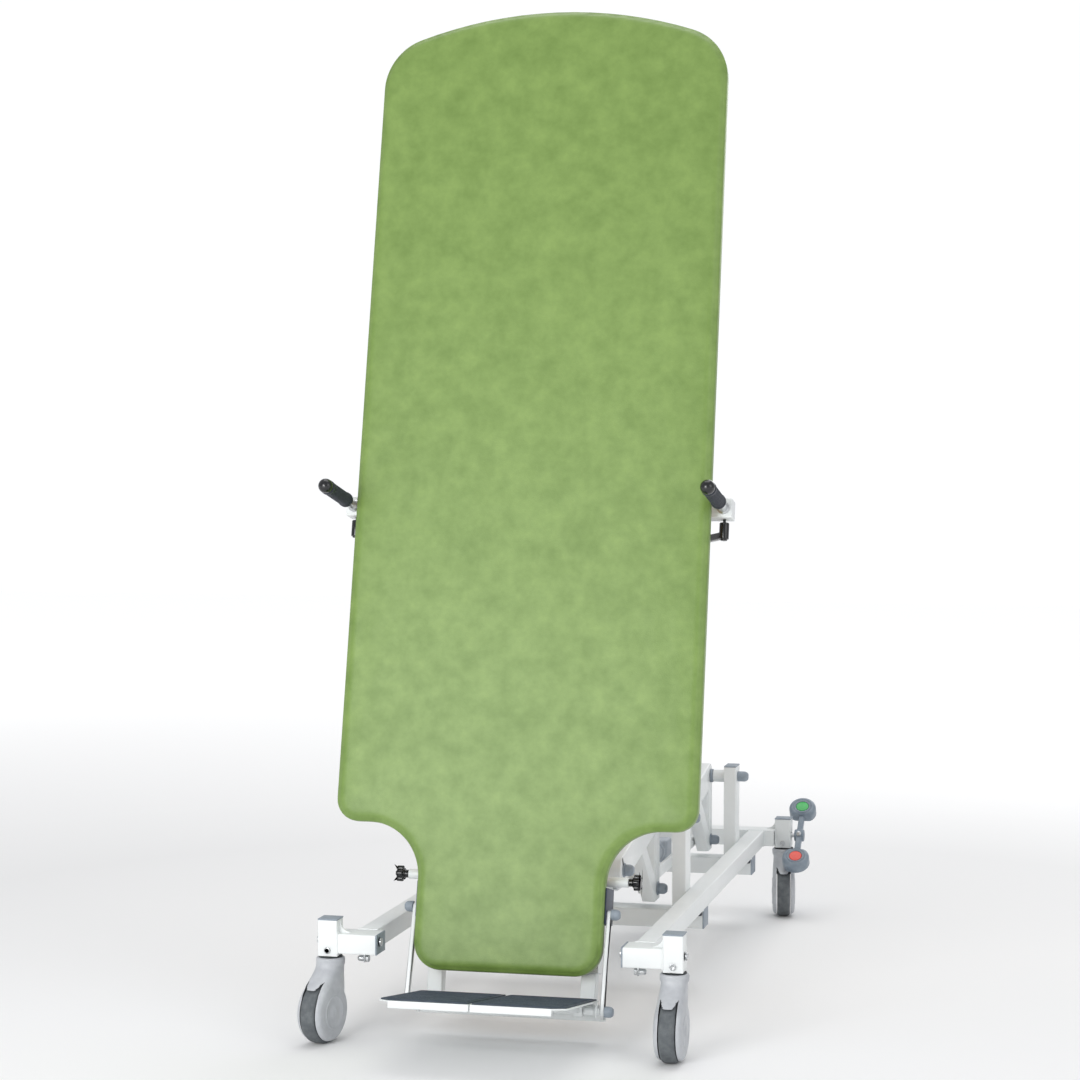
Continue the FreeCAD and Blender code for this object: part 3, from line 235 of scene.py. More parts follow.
@dataclass(frozen=True)
class Plywood(Finish):
    """Birch plywood: face veneer grain along the table, and darker glue lines across the board's edge."""

    ply_mm: float = 2.1

    def relief(self, tree: bpy.types.NodeTree, place: bpy.types.NodeSocket) -> bpy.types.NodeSocket:
        """Build veneer grain that follows the tilted board.

        Args:
            tree: The material's node tree.
            place: Object coordinates in metres.

        Returns:
            The socket that carries the height.
        """
        flat = add_node(tree, "ShaderNodeMapping", {"Rotation": (-TILT, 0.0, 0.0)}, {"Vector": place})
        stretch = add_node(tree, "ShaderNodeMapping", {"Scale": (1.0, 0.05, 1.0)},
                           {"Vector": flat.outputs["Vector"]})
        lines = add_node(tree, "ShaderNodeTexNoise", {"Scale": 1000.0 / self.grain_mm, "Detail": 5.0},
                         {"Vector": stretch.outputs["Vector"]})
        split = add_node(tree, "ShaderNodeSeparateXYZ", {}, {"Vector": flat.outputs["Vector"]})
        plies = add_node(tree, "ShaderNodeMath", {"operation": "PINGPONG"}, {"Value": split.outputs["Z"]})
        plies.inputs[1].default_value = self.ply_mm * MM
        share = add_node(tree, "ShaderNodeMath", {"operation": "MULTIPLY_ADD"}, {"Value": plies.outputs[0]})
        share.inputs[1].default_value = 0.35 / (self.ply_mm * MM)
        tree.links.new(lines.outputs["Fac"], share.inputs[2])
        return share.outputs[0]


class Surface(Enum):
    """Every finish of the table."""

    # Polyester powder coat on steel tube: pale, satin, with the slow ripple of orange peel.
    POWDER_COAT = Finish("powder_coated_steel", "#EBEEEE", "#E2E6E6", Grain.SPRAYED, 0.34, 0.05, ior=1.52,
                         mottle_mm=220.0, grain_mm=3.0, relief_mm=0.035)
    # PVC upholstery vinyl: embossed grain, soft sheen, a mottled print under the clear coat.
    VINYL = Finish("embossed_pvc_vinyl", "#7F9B4E", "#69863A", Grain.LEATHER, 0.48, 0.06, ior=1.5,
                   mottle_mm=46.0, grain_mm=1.5, relief_mm=0.22, mix_low=0.3, mix_high=0.7, coat=0.35,
                   coat_rough=0.42)
    # Sealed birch plywood.
    BIRCH_PLY = Plywood("sealed_birch_plywood", "#D8B98A", "#C29C68", Grain.PLIES, 0.5, 0.08, grain_mm=3.0,
                        mottle_mm=90.0, relief_mm=0.04, grime=0.22)
    # Moulded polyethylene tube caps: matt, blue grey.
    CAP_PLASTIC = Finish("moulded_grey_polyethylene", "#98A2AC", "#8A949F", Grain.MOULDED, 0.5, 0.06,
                         mottle_mm=18.0, grain_mm=0.9, relief_mm=0.02, grime=0.05)
    # Bright zinc plate: faintly blue, fine lines from the plated bar.
    ZINC = Finish("bright_zinc_plate", "#D2D4D5", "#B9BCBF", Grain.DRAWN, 0.3, 0.08, metallic=1.0,
                  mottle_mm=12.0, grain_mm=0.6, relief_mm=0.006)
    # Hard-chromed piston tube.
    CHROME = Finish("drawn_stainless_tube", "#D9DBDC", "#C6C9CB", Grain.DRAWN, 0.2, 0.05, metallic=1.0,
                    mottle_mm=25.0, grain_mm=0.8, relief_mm=0.004)
    # Injection-moulded nylon of the castor housings.
    CASTOR_NYLON = Finish("moulded_castor_nylon", "#C1C4C8", "#B2B5BA", Grain.MOULDED, 0.42, 0.06,
                          mottle_mm=35.0, grain_mm=1.0, relief_mm=0.02, grime=0.05)
    # The dark swivel seal, and painted shade: the same dark colour on the faces inside a castor's wheel opening.
    SEAL_AND_PAINTED_OPENING_SHADE = Finish("dark_seal_nylon_and_painted_opening_shade", "#34383B", "#292C2F", Grain.MOULDED, 0.6, 0.06, grain_mm=1.2)
    # Grey thermoplastic rubber tread, slightly scuffed.
    TREAD = Finish("thermoplastic_rubber_tread", "#6A6F72", "#565B5F", Grain.MOULDED, 0.62, 0.08,
                   mottle_mm=14.0, grain_mm=1.4, relief_mm=0.06, grime=0.12)
    # Spark-eroded ABS housing of the actuators and control box.
    HOUSING_ABS = Finish("textured_abs_housing", "#B4BBC3", "#A6ADB6", Grain.MOULDED, 0.48, 0.06,
                         mottle_mm=40.0, grain_mm=1.1, relief_mm=0.035, grime=0.06)
    # Dark blue nylon slide shoe.
    BLUE_NYLON = Finish("dark_blue_nylon", "#28344D", "#1F2A40", Grain.MOULDED, 0.4, 0.06, grain_mm=1.2)
    # Vulcanised mat on the footplates.
    MAT_RUBBER = Finish("ribbed_vulcanised_mat", "#465160", "#39434F", Grain.MOULDED, 0.66, 0.08,
                        mottle_mm=24.0, grain_mm=1.2, relief_mm=0.08, grime=0.2)
    # Polished black phenolic of knobs, levers and grip ends.
    BLACK_PHENOLIC = Finish("polished_black_phenolic", "#17191C", "#101114", Grain.MOULDED, 0.2, 0.05,
                            mottle_mm=20.0, grain_mm=2.0, relief_mm=0.006, coat=0.3)
    # Moulded rubber of the grip sleeves and the buttons.
    SLEEVE_RUBBER = Finish("moulded_sleeve_rubber", "#2E3440", "#22262F", Grain.MOULDED, 0.55, 0.07,
                           mottle_mm=10.0, grain_mm=1.0, relief_mm=0.03, grime=0.1)
    # Glass-filled nylon of the brake pedals.
    PEDAL_NYLON = Finish("glass_filled_pedal_nylon", "#8D99A5", "#7D8A97", Grain.MOULDED, 0.36, 0.06,
                         mottle_mm=16.0, grain_mm=1.0, relief_mm=0.03, grime=0.06)
    # Printed and domed polyurethane discs.
    GREEN_DISC = Finish("green_printed_disc", "#0BB94A", "#08AB42", Grain.SPRAYED, 0.24, 0.04, grain_mm=4.0,
                        relief_mm=0.01, coat=0.4)
    RED_DISC = Finish("red_printed_disc", "#EE3F1E", "#E23312", Grain.SPRAYED, 0.24, 0.04, grain_mm=4.0,
                      relief_mm=0.01, coat=0.4)

    def material(self) -> bpy.types.Material:
        """Return the material of this finish, made on first use."""
        return bpy.data.materials.get(self.value.name) or self.value.build()


SLOT_SURFACE = {
    "powder_coat": Surface.POWDER_COAT, "upholstery": Surface.VINYL, "plywood": Surface.BIRCH_PLY,
    "cap_plastic": Surface.CAP_PLASTIC, "zinc": Surface.ZINC, "black_rubber": Surface.SLEEVE_RUBBER,
    "castor_plastic": Surface.CASTOR_NYLON, "castor_tread": Surface.TREAD,
    "actuator_plastic": Surface.HOUSING_ABS, "actuator_rod": Surface.CHROME,
    "shoe_plastic": Surface.BLUE_NYLON, "mat_rubber": Surface.MAT_RUBBER,
    "knob_plastic": Surface.BLACK_PHENOLIC, "grip_rubber": Surface.SLEEVE_RUBBER,
    "pedal_plastic": Surface.PEDAL_NYLON, "green_inlay": Surface.GREEN_DISC, "red_inlay": Surface.RED_DISC,
}


# ------------------------------------------------------------------ places
def box_mid(node: str) -> Vector:
    """Return the middle of a CAD node's box."""
    low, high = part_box(node)
    return (Vector(low) + Vector(high)) / 2


def joint_point(name: str) -> Vector:
    """Return a joint's place in the row frame."""
    return Vector(JOINTS[name]["pos_m"])


BASE_MID_Y = box_mid("castor_posts").y
FLAT_TOP = Matrix.Translation((0.0, BASE_MID_Y + TOP_FOOT_Y, TOP_FOOT_Z)) @ Matrix.Rotation(TILT, 4, "X")
HINGE = joint_point("foot_plate_fold_left")
PLATE_LEVEL = Matrix.Translation((0.0, HINGE.y, HINGE.z)) @ Matrix.Rotation(PLATE_SLOPE, 4, "X")
ROCKER_LEVEL = Matrix.Translation(joint_point("brake")) @ Matrix.Rotation(ROCKER_TURN, 4, "X")


def mm(x: float, y: float, z: float) -> Vector:
    """Return a vector given in millimetres."""
    return Vector((x, y, z)) * MM


def base_point(x: float, y: float, z: float) -> Vector:
    """Return a point given in millimetres from the middle of the wheelbase."""
    return mm(x, y, z) + Vector((0.0, BASE_MID_Y, 0.0))


def aim(origin: Vector, axis: Vector) -> Matrix:
    """Return the place whose Z axis points along an axis from an origin."""
    return Matrix.Translation(origin) @ axis.to_track_quat("Z", "Y").to_matrix().to_4x4()


# ------------------------------------------------------------------ mesh work
class Blank:
    """A mesh under construction, in the row frame."""

    def __init__(self) -> None:
        """Start with an empty mesh."""
        self.bm = bmesh.new()

    def lathe(self, profile: Profile, place: Matrix, steps: int = 48) -> "Blank":
        """Turn a closed solid from a profile that starts and ends on the axis.

        Args:
            profile: Pairs of radius and height in millimetres.
            place: Where the lathe's axis, its Z, stands.
            steps: Faces round the axis.

        Returns:
            This blank.
        """
        rings: list[list[bmesh.types.BMVert]] = []
        for radius, height in profile:
            if radius <= 0.0:
                rings.append([self.bm.verts.new(place @ mm(0.0, 0.0, height))])
                continue
            turn = [2 * math.pi * k / steps for k in range(steps)]
            rings.append([self.bm.verts.new(place @ mm(radius * math.cos(a), radius * math.sin(a), height))
                          for a in turn])
        for low, high in zip(rings, rings[1:]):
            for k in range(steps):
                j = (k + 1) % steps
                if len(low) == 1:
                    corners = [low[0], high[j], high[k]]
                elif len(high) == 1:
                    corners = [low[k], low[j], high[0]]
                else:
                    corners = [low[k], low[j], high[j], high[k]]
                self.bm.faces.new(corners)
        return self

    def loft(self, rings: Sequence[Sequence[Vector]]) -> "Blank":
        """Skin a closed solid over rings that have equal counts.

        Args:
            rings: Loops of points in the row frame, from one end to the other.

        Returns:
            This blank.
        """
        loops = [[self.bm.verts.new(p) for p in ring] for ring in rings]
        count = len(loops[0])
        for low, high in zip(loops, loops[1:]):
            for k in range(count):
                j = (k + 1) % count
                self.bm.faces.new([low[k], low[j], high[j], high[k]])
        self.bm.faces.new(list(reversed(loops[0])))
        self.bm.faces.new(loops[-1])
        return self

    def block(self, low: Vector, high: Vector, place: Matrix, radius: float = 1.0) -> "Blank":
        """Add a block with rounded edges.

        Args:
            low: Lowest corner in metres, before it is placed.
            high: Highest corner.
            place: Where the block stands.
            radius: Edge radius in millimetres.

        Returns:
            This blank.
        """
        made = bmesh.ops.create_cube(self.bm, size=1.0)["verts"]
        for vert in made:
            vert.co = Vector((low[i] if vert.co[i] < 0 else high[i]) for i in range(3))
        edges = {edge for vert in made for edge in vert.link_edges}
        eased = bmesh.ops.bevel(self.bm, geom=list(edges), offset=radius * MM, segments=3, profile=0.5,
                                affect="EDGES")
        verts = {v for face in eased["faces"] for v in face.verts}
        bmesh.ops.transform(self.bm, matrix=place, verts=list(verts))
        return self

    def node(self, name: str, radius: float = 1.5) -> "Blank":
        """Add a copy of a CAD node with its sharp edges rounded.

        Args:
            name: The CAD node.
            radius: Largest edge radius in millimetres; narrow faces get less.

        Returns:
            This blank.
        """
        copy = bmesh.new()
        copy.from_mesh(frame["nodes"][name].data)
        bmesh.ops.remove_doubles(copy, verts=copy.verts, dist=MERGE_GAP)
        bmesh.ops.dissolve_limit(copy, angle_limit=FLAT_ANGLE, verts=copy.verts, edges=copy.edges)
        mesh = bpy.data.meshes.new("eased")
        if radius > 0.0:
            weigh_edges(copy, radius * MM)
        copy.to_mesh(mesh)
        copy.free()
        if radius > 0.0:
            mesh = bevelled(mesh, radius * MM)
        self.bm.from_mesh(mesh)
        bpy.data.meshes.remove(mesh)
        return self

    def mesh(self, mesh: bpy.types.Mesh) -> "Blank":
        """Add a finished mesh and drop its data block."""
        self.bm.from_mesh(mesh)
        bpy.data.meshes.remove(mesh)
        return self

    def piece(self, name: str, body: str, slot: str, surface: Optional[Surface] = None, crease: float = 38.0,
              stands_for: Sequence[str] = ()) -> bpy.types.Object:
        """Finish the mesh as a piece that rides on a CAD body.

        Args:
            name: The piece's name.
            body: CAD body that carries it.
            slot: The record's material slot.
            surface: Its finish; the slot's own finish if none is given.
            crease: Angle in degrees above which an edge stays sharp.
            stands_for: CAD nodes that it replaces.

        Returns:
            The piece.
        """
        mesh = bpy.data.meshes.new(name)
        self.bm.to_mesh(mesh)
        self.bm.free()
        return dress(bpy.data.objects.new(name, mesh), body, slot, surface, crease, stands_for)


def dress(obj: bpy.types.Object, body: str, slot: str, surface: Optional[Surface] = None, crease: float = 38.0,
          stands_for: Sequence[str] = ()) -> bpy.types.Object:
    """Link a piece, shade it, give it its finish, hang it on its body and hide the CAD nodes it replaces.

    Args:
        obj: The piece, with its place in its mesh.
        body: CAD body that carries it.
        slot: The record's material slot.
        surface: Its finish; the slot's own finish if none is given.
        crease: Angle in degrees above which an edge stays sharp.
        stands_for: CAD nodes that it replaces.

    Returns:
        The piece.
    """
    if obj.name not in bpy.context.scene.collection.objects:
        bpy.context.scene.collection.objects.link(obj)
    obj.data.shade_smooth()
    obj.data.set_sharp_from_angle(angle=math.radians(crease))
    if not obj.data.materials:
        obj.data.materials.append((surface or SLOT_SURFACE[slot]).material())
    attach(obj, body)
    if stands_for:
        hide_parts(*stands_for)
    LOG.info("%s on %s, %d faces", obj.name, body, len(obj.data.polygons))
    return obj


def face_width(face: bmesh.types.BMFace, edge: bmesh.types.BMEdge) -> float:
    """Measure a face across one of its edges.

    Args:
        face: The face.
        edge: The edge.

    Returns:
        The face's depth from the edge, or its mean width where it has many corners, as a ring has.
    """
    if len(face.verts) > 4:
        return 2 * face.calc_area() / face.calc_perimeter()
    across = face.normal.cross(edge.verts[1].co - edge.verts[0].co).normalized()
    return max(abs((vert.co - edge.verts[0].co).dot(across)) for vert in face.verts)


def weigh_edges(bm: bmesh.types.BMesh, radius: float) -> None:
    """Give each sharp edge the share of the radius that its faces leave room for.

    Args:
        bm: The mesh.
        radius: Full edge radius in metres.
    """
    layer = bm.edges.layers.float.new("bevel_weight_edge")
    for edge in bm.edges:
        if len(edge.link_faces) == 2 and edge.calc_face_angle(0.0) > SHARP_ANGLE:
            room = min(face_width(face, edge) for face in edge.link_faces)
            edge[layer] = min(1.0, ROOM_SHARE * room / radius)


def evaluated(obj: bpy.types.Object) -> bpy.types.Mesh:
    """Return an object's mesh with its modifiers applied, and remove the object."""
    if obj.name not in bpy.context.scene.collection.objects:
        bpy.context.scene.collection.objects.link(obj)
    depsgraph = bpy.context.evaluated_depsgraph_get()
    depsgraph.update()
    mesh = bpy.data.meshes.new_from_object(obj.evaluated_get(depsgraph), depsgraph=depsgraph)
    bpy.data.objects.remove(obj)
    return mesh


def bevelled(mesh: bpy.types.Mesh, width: float) -> bpy.types.Mesh:
    """Round a mesh's weighted edges."""
    obj = bpy.data.objects.new("bevelled", mesh)
    modifier = obj.modifiers.new("ease", "BEVEL")
    modifier.limit_method = "WEIGHT"
    modifier.width = width
    modifier.segments = 3
    modifier.use_clamp_overlap = False
    return evaluated(obj)


def ease_nodes(nodes: Iterable[str], radius: float) -> None:
    """Replace CAD nodes one for one by copies with rounded edges.

    Args:
        nodes: The CAD nodes.
        radius: Largest edge radius in millimetres.
    """
    for node in nodes:
        Blank().node(node, radius).piece(node + "_eased", BODY_OF[node], SLOT_OF[node], stands_for=[node])


# ------------------------------------------------------------------ geometry nodes
class WeldBead:
    """Rippled weld beads that follow the seams between tubes."""

    step_mm: float = 1.6
    ripple_steps: float = 2.0
    ripple_low: float = 0.86
    ripple_rise: float = 0.09

    def __init__(self) -> None:
        """Build the tree: path, even spacing, rippled radius, round section, material."""
        tree = bpy.data.node_groups.new("weld_bead", "GeometryNodeTree")
        ports = tree.interface
        ports.new_socket("Path", in_out="INPUT", socket_type="NodeSocketGeometry")
        self.spacing = ports.new_socket("Spacing", in_out="INPUT", socket_type="NodeSocketFloat").identifier
        self.radius = ports.new_socket("Radius", in_out="INPUT", socket_type="NodeSocketFloat").identifier
        self.material = ports.new_socket("Material", in_out="INPUT", socket_type="NodeSocketMaterial").identifier
        ports.new_socket("Mesh", in_out="OUTPUT", socket_type="NodeSocketGeometry")
        given = add_node(tree, "NodeGroupInput", {})
        curve = add_node(tree, "GeometryNodeMeshToCurve", {}, {"Mesh": given.outputs["Path"]})
        even = add_node(tree, "GeometryNodeResampleCurve", {"mode": "LENGTH"},
                        {"Curve": curve.outputs["Curve"], "Length": given.outputs["Spacing"]})
        index = add_node(tree, "GeometryNodeInputIndex", {})
        ripple = add_node(tree, "ShaderNodeMath", {"operation": "PINGPONG"}, {"Value": index.outputs["Index"]})
        ripple.inputs[1].default_value = self.ripple_steps
        lift = add_node(tree, "ShaderNodeMath", {"operation": "MULTIPLY_ADD"}, {"Value": ripple.outputs[0]})
        lift.inputs[1].default_value = self.ripple_rise
        lift.inputs[2].default_value = self.ripple_low
        rounded = add_node(tree, "GeometryNodeSetCurveRadius", {}, {"Curve": even.outputs["Curve"],
                                                                    "Radius": lift.outputs[0]})
        section = add_node(tree, "GeometryNodeCurvePrimitiveCircle", {"Resolution": 8},
                           {"Radius": given.outputs["Radius"]})
        swept = add_node(tree, "GeometryNodeCurveToMesh", {"Fill Caps": True},
                         {"Curve": rounded.outputs["Curve"], "Profile Curve": section.outputs["Curve"],
                          "Scale": lift.outputs[0]})
        real = add_node(tree, "GeometryNodeRealizeInstances", {}, {"Geometry": swept.outputs["Mesh"]})
        painted = add_node(tree, "GeometryNodeSetMaterial", {}, {"Geometry": real.outputs["Geometry"],
                                                                 "Material": given.outputs["Material"]})
        add_node(tree, "NodeGroupOutput", {}, {"Mesh": painted.outputs["Geometry"]})
        self.tree = tree

    def run(self, name: str, body: str, paths: Sequence[Sequence[Vector]], radius: float = 1.6) -> None:
        """Lay beads along paths.

        Args:
            name: The piece's name.
            body: CAD body that carries it.
            paths: Polylines in the row frame; a path that ends where it starts is closed.
            radius: Bead radius in millimetres.
        """
        mesh = bpy.data.meshes.new(name)
        verts: list[Vector] = []
        edges: list[tuple[int, int]] = []
        for path in paths:
            start = len(verts)
            closed = (path[0] - path[-1]).length < 1e-6
            points = list(path[:-1]) if closed else list(path)
            verts += points
            edges += [(start + i, start + i + 1) for i in range(len(points) - 1)]
            if closed:
                edges.append((start + len(points) - 1, start))
        mesh.from_pydata(verts, edges, [])
        obj = bpy.data.objects.new(name + "_path", mesh)
        modifier = obj.modifiers.new("bead", "NODES")
        modifier.node_group = self.tree
        modifier[self.spacing] = self.step_mm * MM
        modifier[self.radius] = radius * MM
        modifier[self.material] = Surface.POWDER_COAT.material()
        made = evaluated(obj)
        made.name = name
        dress(bpy.data.objects.new(name, made), body, "powder_coat", crease=80.0)


def rectangle(x0: float, x1: float, y0: float, y1: float, z0: float, z1: float) -> list[Vector]:
    """Return a closed path round a rectangle that is flat in one axis, in millimetres from the base middle."""
    if x0 == x1:
        corners = [(x0, y0, z0), (x0, y1, z0), (x0, y1, z1), (x0, y0, z1)]
    elif y0 == y1:
        corners = [(x0, y0, z0), (x1, y0, z0), (x1, y0, z1), (x0, y0, z1)]
    else:
        corners = [(x0, y0, z0), (x1, y0, z0), (x1, y1, z0), (x0, y1, z0)]
    return [base_point(*c) for c in corners + corners[:1]]


def mirrored(paths: Sequence[Sequence[Vector]]) -> list[list[Vector]]:
    """Return paths and their mirror images across the table's middle plane."""
    return [list(path) for path in paths] + [[Vector((-p.x, p.y, p.z)) for p in path] for path in paths]


# ------------------------------------------------------------------ sub-assemblies
@dataclass
class BaseFrame:
    """Tubular base with its posts, caps, bumpers, bolts and control box."""

    tube_radius: float = 3.0
    rail_x: float = 284.0
    rail_z: float = 176.0
    tube_side: float = 40.0
    post_x: float = 329.0
    post_y: float = 782.0
    lift_post_x: tuple[float, float] = (234.0, 264.0)
    lift_post_y: tuple[float, float] = (-145.0, 565.0)
    cross_half: float = 30.0
    slats: int = 9
    slat_start: float = 0.18
    slat_pitch: float = 0.055
    tubes: tuple[str, ...] = ("side_rails", "foot_corner_tubes", "head_cross_tube", "lower_cross_tubes",
                              "castor_posts", "lift_posts")

    def build(self, weld: WeldBead) -> None:
        """Dress the base.

        Args:
            weld: Maker of weld beads.
        """
        ease_nodes(self.tubes, self.tube_radius)
        ease_nodes(("welded_brackets",), 0.35)
        ease_nodes(("castor_stem_bolts",), 1.0)
        ease_nodes(("frame_end_caps",), 1.6)
        ease_nodes(("lift_pivot_pins",), 1.2)
        ease_nodes(("rail_bumpers",), 2.0)
        self.seams(weld)
        self.control_box()

    def seams(self, weld: WeldBead) -> None:
        """Lay the weld beads of every joint of the base."""
        x0, x1 = self.rail_x - self.tube_side / 2, self.rail_x + self.tube_side / 2
        z0, z1 = self.rail_z, self.rail_z + self.tube_side
        end = self.post_y + self.tube_side / 2 - 2 * self.cross_half
        paths = []
        for way in (-1, 1):
            paths.append(rectangle(x0, x1, way * end, way * end, z0, z1))
            inner = way * (self.post_y - self.tube_side / 2)
            outer = way * (self.post_y + self.tube_side / 2)
            paths.append(rectangle(self.post_x, self.post_x, min(inner, outer), max(inner, outer), z0, z1))
        for y in self.lift_post_y:
            low, high = y - self.cross_half, y + self.cross_half
            paths += [[base_point(x0, low, z0), base_point(x1, low, z0)],
                      [base_point(x0, high, z0), base_point(x1, high, z0)],
                      [base_point(x0, low, z0), base_point(x0, high, z0)]]
            paths.append(rectangle(self.lift_post_x[0], self.lift_post_x[1], low, high, z0, z0))
        weld.run("base_weld_beads", "base", mirrored(paths))

    def control_box(self) -> None:
        """Shape the control unit: eased case, cooling slats and four lid screws."""
        low, high = (Vector(c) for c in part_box("control_box"))
        blank = Blank().node("control_box", 4.0)
        size = high - low
        for k in range(self.slats):
            y = low.y + size.y * (self.slat_start + self.slat_pitch * k)
            blank.block(Vector((low.x + size.x * 0.25, y, high.z - 0.3 * MM)),
                        Vector((low.x + size.x * 0.75, y + 3 * MM, high.z + 1.2 * MM)), Matrix(), 0.5)
        for x in (0.1, 0.9):
            for y in (0.08, 0.9):
                at = Vector((low.x + size.x * x, low.y + size.y * y, high.z - 0.5 * MM))
                blank.lathe([(0, 0), (4.2, 0), (4.2, 1.4), (3.4, 2.1), (1.4, 2.3), (1.4, 1.0), (0, 1.0)],
                            Matrix.Translation(at), 20)
        blank.piece("control_box_case", "base", "actuator_plastic", stands_for=["control_box"])


@dataclass
class Linkage:
    """Bell cranks, tie bars, upper frame and the two actuators."""

    crank_radius: float = 2.6
    upper_x: tuple[float, float] = (132.0, 162.0)
    upper_z: tuple[float, float] = (395.0, 432.0)
    upper_cross_y: tuple[tuple[float, float], ...] = ((-430.0, -400.0), (290.0, 320.0))
    leg_y: tuple[float, float] = (-522.0, 188.0)
    leg_half: float = 22.0
    collar_long: float = 14.5
    motor_collar: tuple[float, float] = (88.0, 26.0)
    end_collar: tuple[float, float] = (16.0, 24.2)

    def build(self, weld: WeldBead) -> None:
        """Dress the linkage.

        Args:
            weld: Maker of weld beads.
        """
        ease_nodes(("front_lift_arms", "rear_lift_arms"), self.crank_radius)
        ease_nodes(("tie_bars",), 1.2)
        ease_nodes(("upper_frame_tubes",), 3.0)
        ease_nodes(("upper_frame_fittings", "front_arm_fittings", "rear_arm_fittings"), 1.4)
        ease_nodes(("lift_actuator_body", "tilt_actuator_body"), 1.8)
        ease_nodes(("lift_actuator_rod", "tilt_actuator_rod"), 1.0)
        x0, x1 = self.upper_x
        z0, z1 = self.upper_z
        paths = [rectangle(x0, x0, y0, y1, z0, z1) for y0, y1 in self.upper_cross_y]
        paths += [rectangle(x0, x1, y - self.leg_half, y + self.leg_half, z0, z0) for y in self.leg_y]
        weld.run("upper_frame_weld_beads", "upper_frame", mirrored(paths))
        self.actuator_trim("lift_actuator", "lift_actuator_swing", "lift_actuator_stroke", 85.0, 420.0)
        self.actuator_trim("tilt_actuator", "tilt_actuator_swing", "tilt_actuator_stroke", 0.0, 600.0)

    def actuator_trim(self, body: str, swing: str, stroke: str, x_mid: float, length: float) -> None:
        """Add the motor and end collars and the wiper ring of an actuator.

        Args:
            body: CAD body of the housing.
            swing: Joint at the tail pin.
            stroke: Joint along the rod.
            x_mid: Middle of the actuator across the table, in millimetres.
            length: Length of its outer tube in millimetres.
        """
        tail = joint_point(swing)
        axis = Vector(JOINTS[stroke]["axis"])
        place = aim(Vector((x_mid * MM, tail.y, tail.z)), axis)
        collar = Blank()
        back, end_radius = self.end_collar
        long, bevel = self.collar_long, 1.5
        for start, radius in (self.motor_collar, (length - back, end_radius)):
            collar.lathe([(0, start), (radius - bevel, start), (radius, start + bevel),
                          (radius, start + long - bevel), (radius - bevel, start + long), (0, start + long)],
                         place)
        collar.piece(body + "_collars", body, "actuator_plastic")
        ring = Blank().lathe([(0, length - 2), (17.0, length - 2), (17.0, length + 1), (15.5, length + 2.5),
                              (13.0, length + 3.0), (0, length + 3.0)], place)
        ring.piece(body + "_wiper", body, "actuator_plastic", Surface.SLEEVE_RUBBER)


